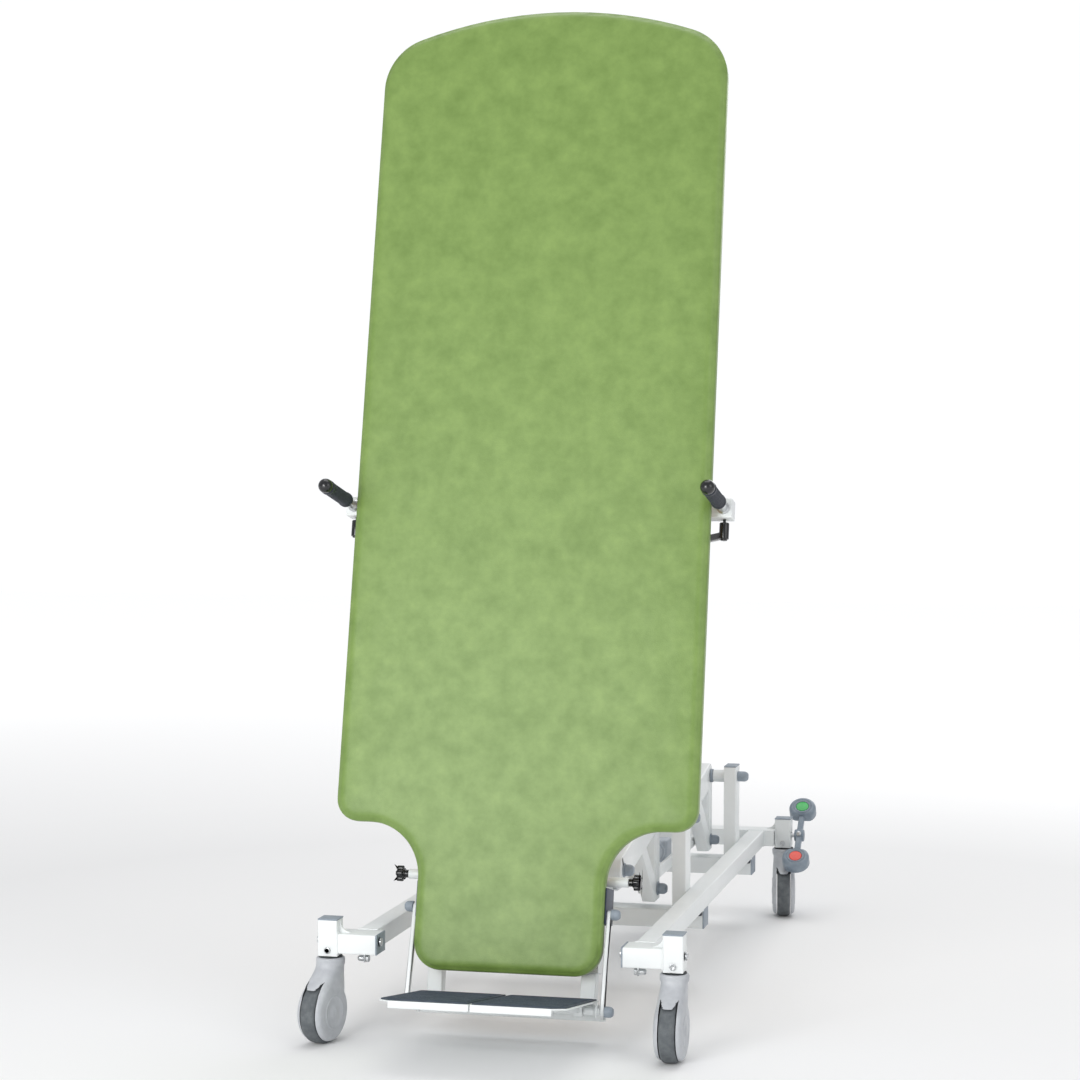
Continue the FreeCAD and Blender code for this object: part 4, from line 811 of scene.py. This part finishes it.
@dataclass
class TiltingTop:
    """Upholstered top with its board, side tubes, rails and foot support."""

    length: float = 2025.0
    half: float = 373.0
    foot_half: float = 192.0
    shoulder_u: float = 291.0
    thick: float = 45.0
    top_round: float = 17.0
    bottom_round: float = 8.0
    crown: float = 6.0
    cell: float = 6.0
    tube_x: float = 158.0
    crossbar_u: tuple[float, ...] = (269.5, 1250.0, 1880.0)
    crossbar_half: float = 15.0
    crossbar_n: tuple[float, float] = (-90.0, -60.0)
    edge_band: float = 0.5
    screws: int = 7
    screw_u: float = 380.0
    screw_pitch: float = 240.0
    screw_x: tuple[float, float] = (225.0, 330.0)
    outer_row: tuple[float, float] = (430.0, 1800.0)
    board_back: float = 59.9

    def build(self, weld: WeldBead) -> None:
        """Dress the top.

        Args:
            weld: Maker of weld beads.
        """
        self.cushion()
        self.board()
        ease_nodes(("tilting_frame",), 3.0)
        ease_nodes(("accessory_rails", "tilt_frame_caps"), 1.5)
        ease_nodes(("foot_frame",), 2.0)
        ease_nodes(("foot_frame_caps",), 1.2)
        ease_nodes(("slide_shoes",), 1.4)
        paths = []
        wall = self.tube_x - 20
        back, front = self.crossbar_n
        for u in self.crossbar_u:
            low, high = u - self.crossbar_half, u + self.crossbar_half
            loop = [(wall, low, back), (wall, high, back), (wall, high, front), (wall, low, front),
                    (wall, low, back)]
            paths.append([FLAT_TOP @ mm(*corner) for corner in loop])
        weld.run("top_weld_beads", "tilt_top", mirrored(paths))

    def outline(self, step: float = 8.0) -> np.ndarray:
        """Walk round the top's waisted outline.

        Args:
            step: Largest spacing in millimetres.

        Returns:
            Points (x, u) in millimetres, anticlockwise.
        """
        foot_r, neck_r, shoulder_r, corner_r, crown_r = 55.0, 110.0, 45.0, 115.0, 890.0
        crown_u = self.length - crown_r
        corner_x = self.half - corner_r
        rise = math.sqrt((crown_r - corner_r) ** 2 - corner_x ** 2)
        turn = math.degrees(math.atan2(rise, corner_x))
        arcs = [(self.foot_half - foot_r, foot_r, foot_r, -90.0, 0.0),
                (self.foot_half + neck_r, self.shoulder_u - neck_r, neck_r, 180.0, 90.0),
                (self.half - shoulder_r, self.shoulder_u + shoulder_r, shoulder_r, -90.0, 0.0),
                (corner_x, crown_u + rise, corner_r, 0.0, turn),
                (0.0, crown_u, crown_r, turn, 90.0)]
        corners = [(0.0, 0.0)]
        for x, u, radius, start, end in arcs:
            count = max(3, int(abs(math.radians(end - start)) * radius / step))
            corners += [(x + radius * math.cos(math.radians(a)), u + radius * math.sin(math.radians(a)))
                        for a in np.linspace(start, end, count)]
        right = [corners[0]]
        for point in corners[1:]:
            gap = math.dist(right[-1], point)
            count = max(1, int(gap / step))
            right += [tuple(np.array(right[-1]) + (np.array(point) - np.array(right[-1])) * k / count)
                      for k in range(1, count + 1)] if gap > 1e-6 else []
        left = [(-x, u) for x, u in reversed(right[1:-1])]
        return np.array(right + left)

    def edge_distance(self, points: np.ndarray) -> tuple[np.ndarray, np.ndarray]:
        """Measure how far points lie inside the outline.

        Args:
            points: Points (x, u) in millimetres.

        Returns:
            The distance of each, and the unit direction from the edge inwards.
        """
        loop = self.outline()
        start, span = loop, np.roll(loop, -1, axis=0) - loop
        reach = (span ** 2).sum(axis=1)
        best = np.full(len(points), 1e9)
        foot = np.zeros_like(points)
        for a, d, r in zip(start, span, reach):
            t = np.clip(((points - a) @ d) / r, 0.0, 1.0)
            near = a + t[:, None] * d
            gap = np.hypot(*(points - near).T)
            closer = gap < best
            best[closer] = gap[closer]
            foot[closer] = near[closer]
        inward = points - foot
        length = np.maximum(best, 1e-6)[:, None]
        return best, inward / length

    def cushion(self) -> None:
        """Shape the upholstery: rounded edges, a low crown, pulled corners and fine wrinkles."""
        source = Blank().node("pad", 0.0)
        source.bm.transform(FLAT_TOP.inverted())
        mesh = bpy.data.meshes.new("pad_blank")
        source.bm.to_mesh(mesh)
        source.bm.free()
        blank = bpy.data.objects.new("pad_blank", mesh)
        remesh = blank.modifiers.new("even", "REMESH")
        remesh.mode = "VOXEL"
        remesh.voxel_size = self.cell * MM
        mesh = evaluated(blank)
        count = len(mesh.vertices)
        flat = np.empty(count * 3)
        mesh.vertices.foreach_get("co", flat)
        flat = flat.reshape(-1, 3) / MM
        depth, inward = self.edge_distance(flat[:, :2])
        depth = np.clip(depth, 0.0, None)
        below = np.clip(-flat[:, 2], 0.0, self.thick)
        shift, drop = np.zeros(count), np.zeros(count)
        for radius, height in ((self.top_round, below), (self.bottom_round, self.thick - below)):
            near = (depth < radius) & (height < radius)
            e, h = depth[near] - radius, height[near] - radius
            square = np.maximum(np.abs(e), np.abs(h))
            shrink = square / np.maximum(np.hypot(e, h), 1e-6)
            shift[near] = e * shrink + radius - depth[near]
            change = h * shrink + radius - height[near]
            drop[near] = -change if radius == self.top_round else change
        away = np.where(depth[:, None] > self.edge_band, inward, 0.0)
        edge = depth <= self.edge_band
        if edge.any():
            pull = 1e-3
            nearer = flat[edge, :2] * (1 - 2 * pull) + np.array([0.0, self.length * pull])
            away[edge] = self.edge_distance(nearer)[1]
        top = np.clip(1.0 - below / (self.thick * 0.6), 0.0, 1.0)
        side_pull = 1.6 * np.sin(np.clip(below / self.thick, 0, 1) * math.pi) * np.exp(-depth / 8.0)
        flat[:, :2] += away * (shift - side_pull * 0.5)[:, None]
        flat[:, 2] += drop - self.crown * np.exp(-depth / 48.0) * top
        flat[:, 2] += top * self.wrinkles(flat, depth)
        place = np.array(FLAT_TOP)
        world = flat * MM @ place[:3, :3].T + place[:3, 3]
        mesh.vertices.foreach_set("co", world.astype(np.float32).ravel())
        mesh.update()
        mesh.name = "upholstery"
        pad = bpy.data.objects.new("upholstery", mesh)
        pad.data.materials.clear()
        dress(pad, "tilt_top", "upholstery", crease=180.0, stands_for=["pad"])

    def wrinkles(self, flat: np.ndarray, depth: np.ndarray) -> np.ndarray:
        """Work out how the cover stands off its foam.

        Args:
            flat: Points (x, u, n) on the flat top in millimetres.
            depth: Distance of each from the outline.

        Returns:
            Height of each point in millimetres.
        """
        edge = np.exp(-depth / 45.0)
        out = np.empty(len(flat))
        for i, (x, u, _) in enumerate(flat):
            slow = noise.noise(Vector((x / 190.0, u / 260.0, 3.1)))
            fold = noise.noise(Vector((x / 26.0 + 5.0, u / 42.0, 7.7)))
            out[i] = 0.7 * slow + (0.25 + 0.75 * edge[i]) * 0.7 * fold
        return out - 0.5

    def board(self) -> None:
        """Ease the board and set the cup-washered screws that hold it, in two rows behind the top."""
        blank = Blank().node("base_board", 1.5)
        blank.piece("plywood_board", "tilt_top", "plywood", stands_for=["base_board"])
        screws = Blank()
        facing = FLAT_TOP @ Matrix.Rotation(math.pi, 4, "X")
        head = [(0, 0), (8.0, 0), (8.0, 0.8), (6.6, 1.8), (4.6, 2.6), (1.6, 3.0), (1.6, 1.6), (0, 1.6)]
        for side in (-1.0, 1.0):
            for k in range(self.screws):
                u = self.screw_u + self.screw_pitch * k
                both_rows = self.outer_row[0] < u < self.outer_row[1]
                for x in self.screw_x if both_rows else self.screw_x[:1]:
                    place = facing @ Matrix.Translation(mm(side * x, -u, self.board_back))
                    screws.lathe(head, place, 24)
        screws.piece("board_screws", "tilt_top", "zinc")


@dataclass
class FootSupport:
    """Folding footplates with their mats and the star knobs that lock their height."""

    rib_pitch: float = 5.0
    mat_depth: tuple[float, float] = (-269.0, 32.0)
    mat_x: tuple[float, float] = (4.5, 181.0)
    mat_top: float = 22.0
    cut: float = 24.0

    def build(self) -> None:
        """Dress both footplates and both knobs."""
        for name, side in SIDES.items():
            ease_nodes(("foot_plate_" + name,), 1.4)
            ease_nodes(("lock_knob_" + name,), 2.2)
            self.mat(name, side)

    def mat(self, name: str, side: float) -> None:
        """Shape a mat: eased sheet with raised ribs across it that stop short of the chamfered corner.

        Args:
            name: Which side.
            side: Minus one for the left and one for the right.
        """
        blank = Blank().node("foot_mat_" + name, 1.0)
        y0, y1 = self.mat_depth
        x0, x1 = self.mat_x
        count = int((y1 - y0 - 16) / self.rib_pitch)
        for k in range(count):
            y = y0 + 8 + self.rib_pitch * k
            short = max(0.0, self.cut - (y - y0)) + 7.0
            ends = sorted((side * (x0 + 7.0), side * (x1 - short)))
            blank.block(mm(ends[0], y, self.mat_top - 0.4), mm(ends[1], y + 2.4, self.mat_top + 0.9),
                        PLATE_LEVEL, 0.4)
        blank.piece("mat_" + name, "foot_plate_" + name, "mat_rubber", stands_for=["foot_mat_" + name])


@dataclass
class HandGrips:
    """Rail clamps with their upright grips and clamping levers."""

    x: float = 393.0
    u: float = 955.0
    stem_n: float = -63.0
    ribs: int = 16
    rib_start: float = 10.0
    rib_run: float = 106.0
    rib_radii: tuple[float, float] = (13.6, 14.5)
    ball_radius: float = 15.0
    ball_n: float = 138.0

    def build(self) -> None:
        """Dress both grips and levers."""
        for name, side in SIDES.items():
            self.grip(name, side)
            ease_nodes(("clamp_lever_" + name,), 1.8)

    def grip(self, name: str, side: float) -> None:
        """Shape one grip: clamp block cut from the CAD grip, stem, ribbed sleeve with cuffs, and ball end.

        Args:
            name: Which side.
            side: Minus one for the left and one for the right.
        """
        body = "hand_grip_" + name
        clamp = Blank().node(body, 1.6)
        cut = FLAT_TOP @ mm(0.0, 0.0, self.stem_n + 0.5)
        normal = FLAT_TOP.to_3x3() @ Vector((0.0, 0.0, 1.0))
        geometry = clamp.bm.verts[:] + clamp.bm.edges[:] + clamp.bm.faces[:]
        bmesh.ops.bisect_plane(clamp.bm, geom=geometry, plane_co=cut, plane_no=normal, clear_outer=True)
        bmesh.ops.holes_fill(clamp.bm, edges=[e for e in clamp.bm.edges if e.is_boundary])
        clamp.piece("grip_clamp_" + name, body, "powder_coat", stands_for=[body])
        place = FLAT_TOP @ Matrix.Translation(mm(side * self.x, self.u, 0.0))
        stem = Blank().lathe([(0, -63.5), (13, -63.5), (13, -58), (11, -56), (10, -55), (10, 34), (0, 34)],
                             place)
        stem.piece("grip_stem_" + name, body, "zinc")
        profile: list[tuple[float, float]] = [(0, -2), (13.4, -2), (15.6, 0), (15.6, 7), (14.2, 9)]
        pitch = self.rib_run / self.ribs
        groove, rib = self.rib_radii
        for k in range(self.ribs):
            start = self.rib_start + pitch * k
            profile += [(groove, start), (groove, start + pitch * 0.3), (rib, start + pitch * 0.45),
                        (rib, start + pitch * 0.9)]
        profile += [(14.0, 118.0), (15.4, 120.0), (15.4, 126.0), (13.0, 128.0), (0, 128.0)]
        Blank().lathe(profile, place).piece("grip_sleeve_" + name, body, "grip_rubber")
        ball = [(0.0, 124.0), (12.0, 124.0)]
        ball += [(self.ball_radius * math.cos(a), self.ball_n + self.ball_radius * math.sin(a))
                 for a in np.linspace(-0.75, math.pi / 2, 14)[:-1]]
        ball.append((0.0, self.ball_n + self.ball_radius))
        Blank().lathe(ball, place).piece("grip_ball_" + name, body, "knob_plastic")


@dataclass
class Brake:
    """Central brake: rocker arms with their pads and discs, cross shafts and links."""

    pedal_x: float = 389.0
    reach: float = 86.0
    rise: float = 18.0
    base: float = -12.0
    radius: float = 34.0
    disc: float = 16.0
    flat: float = 23.0
    boss: float = 14.6
    bolt_turn: float = 0.5

    def build(self) -> None:
        """Dress the brake."""
        ease_nodes(("brake_rear_shaft", "brake_front_shafts", "brake_links"), 0.8)
        ease_nodes(("brake_pedal_arms",), 2.6)
        pads, bolts = Blank(), Blank()
        for side in (-1.0, 1.0):
            for which in (-1.0, 1.0):
                place = ROCKER_LEVEL @ Matrix.Translation(mm(side * self.pedal_x, which * self.reach, 0.0))
                pads.mesh(self.pad(which, place))
                ends = sorted((-which * 36.0, -which * 14.0))
                pads.block(mm(-6.5, ends[0], -8.5), mm(6.5, ends[1], 8.5), place, 2.0)
            axis = Vector((0.0, -math.cos(self.bolt_turn), math.sin(self.bolt_turn)))
            seat = joint_point("brake") + mm(side * self.pedal_x, 0.0, 0.0) + axis * self.boss * MM
            head = [(0, -3), (6.2, -3), (6.2, 1.0), (5.2, 1.2), (5.0, 3.6), (4.2, 4.4), (1.8, 4.8), (1.6, 3.2),
                    (0, 3.2)]
            bolts.lathe(head, aim(seat, axis), 24)
        pads.piece("pedal_pads", "brake_rear", "pedal_plastic", crease=60.0, stands_for=["brake_pads"])
        bolts.piece("rocker_bolts", "brake_rear", "zinc")
        for node, which in (("brake_inlay_green", 1.0), ("brake_inlay_red", -1.0)):
            disc = Blank()
            for side in (-1.0, 1.0):
                seat = mm(side * self.pedal_x, which * self.reach, self.rise - 2.0)
                disc.lathe([(0, 0), (15.4, 0), (15.8, 0.6), (15.2, 1.8), (12.0, 2.4), (6.0, 2.7), (0, 2.8)],
                           ROCKER_LEVEL @ Matrix.Translation(seat))
            disc.piece(node + "_disc", "brake_rear", SLOT_OF[node], stands_for=[node])

    def pad(self, which: float, place: Matrix) -> bpy.types.Mesh:
        """Shape a D-shaped pad: turned from its profile, then flattened on the rocker's side.

        Args:
            which: One for the green pad and minus one for the red one.
            place: The pad's own place, with Y along the rocker.

        Returns:
            The pad's mesh.
        """
        blank = Blank().lathe(self.pad_profile(), Matrix(), 64)
        for vert in blank.bm.verts:
            over = -which * vert.co.y - self.flat * MM
            if over > 0.0:
                vert.co.y = -which * (self.flat * MM + 0.12 * over)
        blank.bm.transform(place)
        mesh = bpy.data.meshes.new("pad_blank")
        blank.bm.to_mesh(mesh)
        blank.bm.free()
        return mesh

    def pad_profile(self) -> list[tuple[float, float]]:
        """Return a pad's profile: soft rim, sunk well with a raised ring round the disc."""
        r, top, low = self.radius, self.rise, self.base
        soft = 9
        rim = [(r - soft + soft * math.cos(a), top - soft + soft * math.sin(a))
               for a in np.linspace(0.0, math.pi / 2, 8)]
        return ([(0, low + 4), (r - 8, low + 4), (r - 7, low), (r - 3, low), (r, low + 3)] + rim
                + [(24.0, top), (23.4, top - 0.9), (21.6, top - 1.1), (20.8, top + 0.3), (18.0, top + 0.3),
                   (self.disc + 0.6, top - 0.4), (self.disc, top - 2.0), (0, top - 2.0)])


@dataclass
class Castors:
    """Four shrouded castors."""

    trail: float = 32.0
    wheel_radius: float = 62.5
    tyre_half: float = 16.0
    shell_half: float = 28.0
    voxel: float = 1.8
    blunt: float = 0.8
    wheel_gap: float = 1.8
    roof_radius: float = 65.5
    sill_height: float = 112.0
    names: tuple[str, ...] = CORNERS

    def build(self) -> None:
        """Dress the castors."""
        housing = self.housing()
        for name in self.names:
            swivel, roll = JOINTS["swivel_" + name], JOINTS["roll_" + name]
            angle = math.atan2(roll["axis"][1], roll["axis"][0])
            stem = Vector(swivel["pos_m"])
            place = Matrix.Translation((stem.x, stem.y, 0.0)) @ Matrix.Rotation(angle, 4, "Z")
            mesh = housing.copy()
            mesh.transform(place)
            fork = bpy.data.objects.new("castor_housing_" + name, mesh)
            dress(fork, "castor_" + name, "castor_plastic", crease=50.0, stands_for=["castor_fork_" + name])
            self.trim(name, place)
            self.wheel(name, place)
        bpy.data.meshes.remove(housing)

    def oval(self, height: float, half_x: float, front: float, back: float) -> list[Vector]:
        """Return one level ring of the housing's neck.

        Args:
            height: Height above the floor in millimetres.
            half_x: Half width.
            front: Reach towards the wheel's trailing side.
            back: Reach the other way.

        Returns:
            Points of a rounded oval.
        """
        mid, half_y = (back - front) / 2, (back + front) / 2
        ring = []
        for k in range(48):
            a = 2 * math.pi * k / 48
            c, s = math.cos(a), math.sin(a)
            ring.append(mm(half_x * math.copysign(abs(c) ** self.blunt, c),
                           mid + half_y * math.copysign(abs(s) ** self.blunt, s), height))
        return ring

    def housing(self) -> bpy.types.Mesh:
        """Shape the moulded housing: collar, flowing neck, two side covers and the wheel's opening.

        Returns:
            The housing about its own stem, with painted shade: the opening's walls, roof and sill coloured dark.
        """
        wheel = self.axle()
        blank = Blank()
        rings = [self.oval(78, 27.5, 88, 30), self.oval(100, 27.8, 88, 33), self.oval(118, 27.5, 72, 31),
                 self.oval(132, 26.5, 50, 28), self.oval(146, 25.8, 32, 26.5), self.oval(158, 26.5, 27, 26.5)]
        blank.loft(rings)
        blank.lathe([(0, 150), (27, 150), (29, 153), (29, 164), (27.5, 166.5), (0, 166.5)], Matrix(), 48)
        side = [(0, -28.0), (44, -28.0), (52, -26.6), (56.5, -23.0), (57.5, -19.5), (57.5, 19.5), (56.5, 23.0),
                (52, 26.6), (44, 28.0), (0, 28.0)]
        blank.lathe(side, wheel, 72)
        mesh = bpy.data.meshes.new("housing")
        blank.bm.to_mesh(mesh)
        blank.bm.free()
        solid = bpy.data.objects.new("housing", mesh)
        remesh = solid.modifiers.new("join", "REMESH")
        remesh.mode = "VOXEL"
        remesh.voxel_size = self.voxel * MM
        smooth = solid.modifiers.new("flow", "SMOOTH")
        smooth.factor = 0.5
        smooth.iterations = 9
        room = Blank()
        inner = self.tyre_half + self.wheel_gap
        roof = self.roof_radius
        room.lathe([(0, -inner), (roof, -inner), (roof, inner), (0, inner)], wheel, 72)
        room.block(mm(-inner, -160, -20), mm(inner, -self.trail - 30, self.sill_height), Matrix(), 0.5)
        cutter_mesh = bpy.data.meshes.new("room")
        room.bm.to_mesh(cutter_mesh)
        room.bm.free()
        cutter = bpy.data.objects.new("room", cutter_mesh)
        bpy.context.scene.collection.objects.link(cutter)
        opening = solid.modifiers.new("opening", "BOOLEAN")
        opening.object = cutter
        opening.operation = "DIFFERENCE"
        opening.solver = "EXACT"
        opening.use_self = True
        made = evaluated(solid)
        bpy.data.objects.remove(cutter)
        made.materials.clear()
        made.materials.append(Surface.CASTOR_NYLON.material())
        made.materials.append(Surface.SEAL_AND_PAINTED_OPENING_SHADE.material())
        # Painted shade: the faces of the opening's walls, roof and sill take the dark colour where shade falls.
        for face in made.polygons:
            at = face.center / MM
            reach = math.hypot(at.y + self.trail, at.z - self.wheel_radius)
            on_wall = abs(abs(at.x) - inner) < 0.3 and abs(face.normal.x) > 0.9
            inside = abs(at.x) < inner + 0.1
            on_roof = inside and abs(reach - roof) < 0.8
            on_sill = inside and abs(at.z - self.sill_height) < 0.3 and abs(face.normal.z) > 0.9
            if on_wall or on_roof or on_sill:
                face.material_index = 1
        return made

    def axle(self) -> Matrix:
        """Return the wheel's own place about its castor's stem, with Z along the axle."""
        return Matrix.Translation(mm(0, -self.trail, self.wheel_radius)) @ Matrix.Rotation(math.pi / 2, 4, "Y")

    def trim(self, name: str, place: Matrix) -> None:
        """Add the swivel seal and the two side caps of one castor.

        Args:
            name: Which castor.
            place: Where its stem stands on the floor, turned as it is stored.
        """
        seal = Blank().lathe([(0, 165.5), (24, 165.5), (24, 168.6), (0, 168.6)], place)
        seal.piece("castor_seal_" + name, "castor_" + name, "castor_plastic", Surface.SEAL_AND_PAINTED_OPENING_SHADE)
        caps = Blank()
        for side in (-1.0, 1.0):
            at = place @ Matrix.Translation(mm(side * (self.shell_half - 1.2), -self.trail, self.wheel_radius))
            face = at @ Matrix.Rotation(side * math.pi / 2, 4, "Y")
            caps.lathe([(0, 0), (33.0, 0), (33.5, 1.0), (33.0, 1.9), (31.0, 2.3), (30.0, 1.7), (11.0, 1.7),
                        (10.0, 2.4), (5.0, 2.9), (0, 3.0)], face, 64)
        caps.piece("castor_side_caps_" + name, "castor_" + name, "castor_plastic")

    def wheel(self, name: str, place: Matrix) -> None:
        """Turn one wheel: hub with its bore filled by the axle boss, and a smooth tyre.

        Args:
            name: Which castor.
            place: Where its stem stands on the floor, turned as it is stored.
        """
        axis = place @ self.axle()
        hub = [(0, -15.0), (12, -15.0), (13, -14.0), (14, -8.0), (38, -8.0), (41, -13.0), (47.8, -14.5),
               (47.8, 14.5), (41, 13.0), (38, 8.0), (14, 8.0), (13, 14.0), (12, 15.0), (0, 15.0)]
        Blank().lathe(hub, axis, 64).piece("wheel_hub_" + name, "wheel_" + name, "castor_plastic",
                                           stands_for=["castor_hub_" + name])
        r, half = self.wheel_radius, self.tyre_half
        soft = 7
        tread = [(r - soft + soft * math.cos(a), -half + soft + soft * math.sin(a))
                 for a in np.linspace(-math.pi / 2, 0, 9)]
        other = [(x, -y) for x, y in reversed(tread)]
        profile = [(0, -half + 1.4), (48.0, -half + 1.4), (48.0, -half + 0.2)] + tread + other
        profile += [(48.0, half - 0.2), (48.0, half - 1.4), (0, half - 1.4)]
        tyre = Blank().lathe(profile, axis, 96)
        tyre.piece("wheel_tyre_" + name, "wheel_" + name, "castor_tread", crease=30.0,
                   stands_for=["castor_tyre_" + name])


@dataclass(frozen=True)
class Studio:
    """Pale sweep, soft lights and the camera."""

    lens_mm: float = 82.67
    camera: tuple[float, float, float] = (1.19483, -5.48127, 1.17158)
    camera_turn: tuple[float, float] = (88.0, 13.33)
    floor_half: float = 14.0
    surround: float = 0.58
    backdrop: float = 1.08
    far_glow: float = 0.5
    lights: tuple[tuple[str, tuple[float, float, float], float, float], ...] = (
        ("key", (-1.2, -4.6, 1.5), 2.0, 95.0), ("fill", (4.4, -3.0, 2.6), 3.0, 40.0),
        ("top", (0.0, 0.6, 5.4), 4.0, 80.0), ("rim", (1.5, 5.0, 3.4), 3.0, 60.0))
    aim_height: float = 0.8

    def build(self) -> None:
        """Place the floor, the lights and the camera."""
        scene = bpy.context.scene
        mesh = bpy.data.meshes.new("studio_floor")
        h = self.floor_half
        mesh.from_pydata([(-h, -h, 0), (h, -h, 0), (h, h, 0), (-h, h, 0)], [], [(0, 1, 2, 3)])
        floor = bpy.data.objects.new("studio_floor", mesh)
        floor.data.materials.append(self.paper())
        scene.collection.objects.link(floor)
        self.sky(scene)
        for name, at, size, power in self.lights:
            data = bpy.data.lights.new(name, "AREA")
            data.size = size
            data.energy = power
            light = bpy.data.objects.new(name, data)
            light.matrix_world = aim(Vector(at), Vector(at) - Vector((0.0, 0.0, self.aim_height)))
            scene.collection.objects.link(light)
        data = bpy.data.cameras.new("camera")
        data.lens = self.lens_mm
        data.sensor_width = 36.0
        camera = bpy.data.objects.new("camera", data)
        camera.location = Vector(self.camera) + Vector((0.0, BASE_MID_Y, 0.0))
        camera.rotation_euler = (math.radians(self.camera_turn[0]), 0.0, math.radians(self.camera_turn[1]))
        scene.collection.objects.link(camera)
        scene.camera = camera

    def paper(self) -> bpy.types.Material:
        """Make the sweep's matt white paper, which glows a little more the further it runs back."""
        material = bpy.data.materials.new("matt_white_paper")
        material.use_nodes = True
        shader = material.node_tree.nodes["Principled BSDF"]
        shader.inputs["Base Color"].default_value = linear("#F4F4F4")
        shader.inputs["Roughness"].default_value = 0.9
        tree = material.node_tree
        place = add_node(tree, "ShaderNodeTexCoord", {}).outputs["Object"]
        reach = add_node(tree, "ShaderNodeVectorMath", {"operation": "LENGTH"}, {"Vector": place})
        fade = add_node(tree, "ShaderNodeMapRange",
                        {"From Min": 2.0, "From Max": 7.0, "To Min": 0.0, "To Max": self.far_glow},
                        {"Value": reach.outputs["Value"]})
        shader.inputs["Emission Color"].default_value = linear("#FFFFFF")
        tree.links.new(fade.outputs["Result"], shader.inputs["Emission Strength"])
        return material

    def sky(self, scene: bpy.types.Scene) -> None:
        """Light the whole scene evenly from a near-white surround that the camera sees as plain white."""
        world = bpy.data.worlds.new("soft_surround")
        world.use_nodes = True
        tree = world.node_tree
        back = tree.nodes["Background"]
        back.inputs["Color"].default_value = linear("#F7F8FA")
        path = add_node(tree, "ShaderNodeLightPath", {})
        level = add_node(tree, "ShaderNodeMapRange", {"To Min": self.surround, "To Max": self.backdrop},
                         {"Value": path.outputs["Is Camera Ray"]})
        tree.links.new(level.outputs["Result"], back.inputs["Strength"])
        scene.world = world
        scene.view_settings.view_transform = "Standard"


def main() -> None:
    """Build the table, sub-assembly by sub-assembly, and then the studio."""
    weld = WeldBead()
    BaseFrame().build(weld)
    Linkage().build(weld)
    TiltingTop().build(weld)
    FootSupport().build()
    HandGrips().build()
    Brake().build()
    Castors().build()
    Studio().build()


if __name__ == "__main__":
    main()
